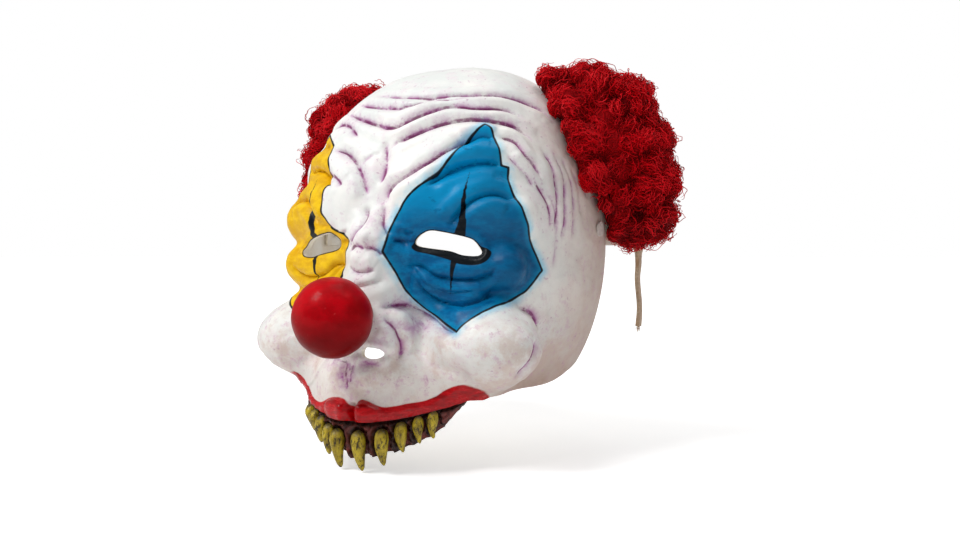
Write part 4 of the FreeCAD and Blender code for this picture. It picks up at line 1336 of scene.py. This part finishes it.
def frayed_end(x):
    """Loose threads under the cut end of the band."""
    random = np.random.default_rng(3)
    count = 14
    t = np.linspace(0.0, 1.0, 7)
    start = np.column_stack([
        x + random.uniform(-0.8, 0.8, count), random.uniform(-2.2, 2.2, count), np.full(count, -55.0),
    ])
    drift = np.column_stack([
        random.normal(0, 0.7, count), random.normal(0, 0.9, count), -random.uniform(2.4, 4.6, count),
    ])
    curl = 0.3 * np.sin(5.0 * t + random.uniform(0, 6, count)[:, None]) * t
    path = start[:, None] + drift[:, None] * t[:, None]
    path[:, :, 0] += curl
    return path


# ---- stage ----
def studio(low_z):
    """Wide pale floor, soft lights and a white surround."""
    radius, corners = 8.0, 64
    turn = np.linspace(0.0, 2 * math.pi, corners, endpoint=False)
    rim = np.column_stack([radius * np.cos(turn), radius * np.sin(turn), np.full(corners, low_z)])
    new_object("floor", rim / MM, [tuple(range(corners))], floor_paint(), 80.0)
    aim = Vector((0.0, -0.06, -0.01))
    # name, place and size in metres, power in watts
    lamps = (
        ("key", (-0.45, -0.78, 1.05), 0.55, 13.0),
        ("top", (0.15, 0.10, 1.35), 0.9, 4.5),
        ("fill", (1.25, -0.75, 0.45), 1.1, 0.9),
        ("side", (-1.3, -0.5, 0.3), 0.9, 1.2),
        ("rear", (0.6, 1.2, 0.8), 1.0, 3.0),
    )
    bpy.context.scene.view_settings.view_transform = "Standard"
    for name, place, size, power in lamps:
        lamp = bpy.data.lights.new(name, "AREA")
        lamp.size, lamp.energy = size, power
        holder = bpy.data.objects.new(name, lamp)
        holder.location = place
        holder.rotation_euler = (aim - Vector(place)).to_track_quat("-Z", "Y").to_euler()
        bpy.context.scene.collection.objects.link(holder)
    world = bpy.data.worlds.new("studio")
    world.use_nodes = True
    background = world.node_tree.nodes["Background"]
    background.inputs["Color"].default_value = (1.0, 1.0, 1.0, 1.0)
    seen = world.node_tree.nodes.new("ShaderNodeLightPath").outputs["Is Camera Ray"]
    strength = world.node_tree.nodes.new("ShaderNodeMapRange")
    strength.inputs["To Min"].default_value = 0.31
    strength.inputs["To Max"].default_value = 1.0
    world.node_tree.links.new(seen, strength.inputs["Value"])
    world.node_tree.links.new(strength.outputs["Result"], background.inputs["Strength"])
    bpy.context.scene.world = world


def camera():
    """The photo's view: level, from the wearer's left of the front."""
    turn, distance = math.radians(32.5), 0.538
    target = Vector((0.0, -0.081, 0.0))
    back = Vector((math.sin(turn), -math.cos(turn), 0.0))
    lens = bpy.data.cameras.new("camera")
    lens.lens, lens.sensor_width = 37.5, 36.0
    lens.shift_x, lens.shift_y = 0.094, -0.027
    lens.clip_start, lens.clip_end = 0.01, 50.0
    holder = bpy.data.objects.new("camera", lens)
    holder.location = target + back * distance
    holder.rotation_euler = (-back).to_track_quat("-Z", "Y").to_euler()
    bpy.context.scene.collection.objects.link(holder)
    bpy.context.scene.camera = holder


# ---- assembly ----
def put(obj, slot, *nodes):
    """Fix a piece to the mask, in place of the CAD nodes named."""
    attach(obj, "mask")
    if nodes:
        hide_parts(*nodes)


def front():
    """Skin, nose, gum and teeth."""
    put(latex_skin([painted_latex(), raw_latex()]), "latex_skin", "face_shell")
    put(bulb_nose(nose_paint()), "nose_latex", "nose_ball", "nose_foam_core")
    put(gum(gum_paint()), "gum_latex", "gum_arch")
    resin = tooth_resin()
    on_left = 5
    for number, place in enumerate(TEETH, start=1):
        node = "tooth_left_%d" % number
        if number > on_left:
            node = "tooth_right_%d" % (number - on_left)
        put(fang(number, place, resin), "tooth_resin", node)


def strap(sign, side, weave):
    """Band of one side, in place of the hidden CAD straps."""
    band = elastic(sign, "elastic_" + side, weave)
    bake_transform(band)
    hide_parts("strap_upper_" + side, "strap_lower_" + side)


def build():
    front()
    fibre, base, weave = curl_fibre(), hair_base(), elastic_weave()
    shown = {
        "strap_eyelet_": worn("eyelet_brass", srgb(150, 118, 62), srgb(214, 182, 118), 0.28),
        "rivet_washer_": worn("washer_alloy", srgb(150, 150, 152), srgb(214, 214, 216), 0.30),
        "tab_rivet_": worn("rivet_enamel", srgb(196, 184, 178), srgb(214, 204, 198), 0.45, 0.0),
        "strap_tab_": raw_latex(),
    }
    for sign, side in SIDES:
        core = hair_core(sign, "hair_core_" + side, base)
        put(core, "hair_net", "hair_tuft_" + side, "hair_backing_" + side)
        for part, seed in (("a", 1), ("b", 2), ("c", 3)):
            name = "curls_%s_%s" % (side, part)
            put(curls(sign, 1700, name, fibre, 10 * seed + (sign < 0)), "hair_fibre")
        strap(sign, side, weave)
        for node, material in shown.items():
            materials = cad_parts[node + side].data.materials
            materials.clear()
            materials.append(material)


build()
studio(CAD_BOUNDS[0][2] - 0.001)
camera()
bpy.context.view_layer.update()
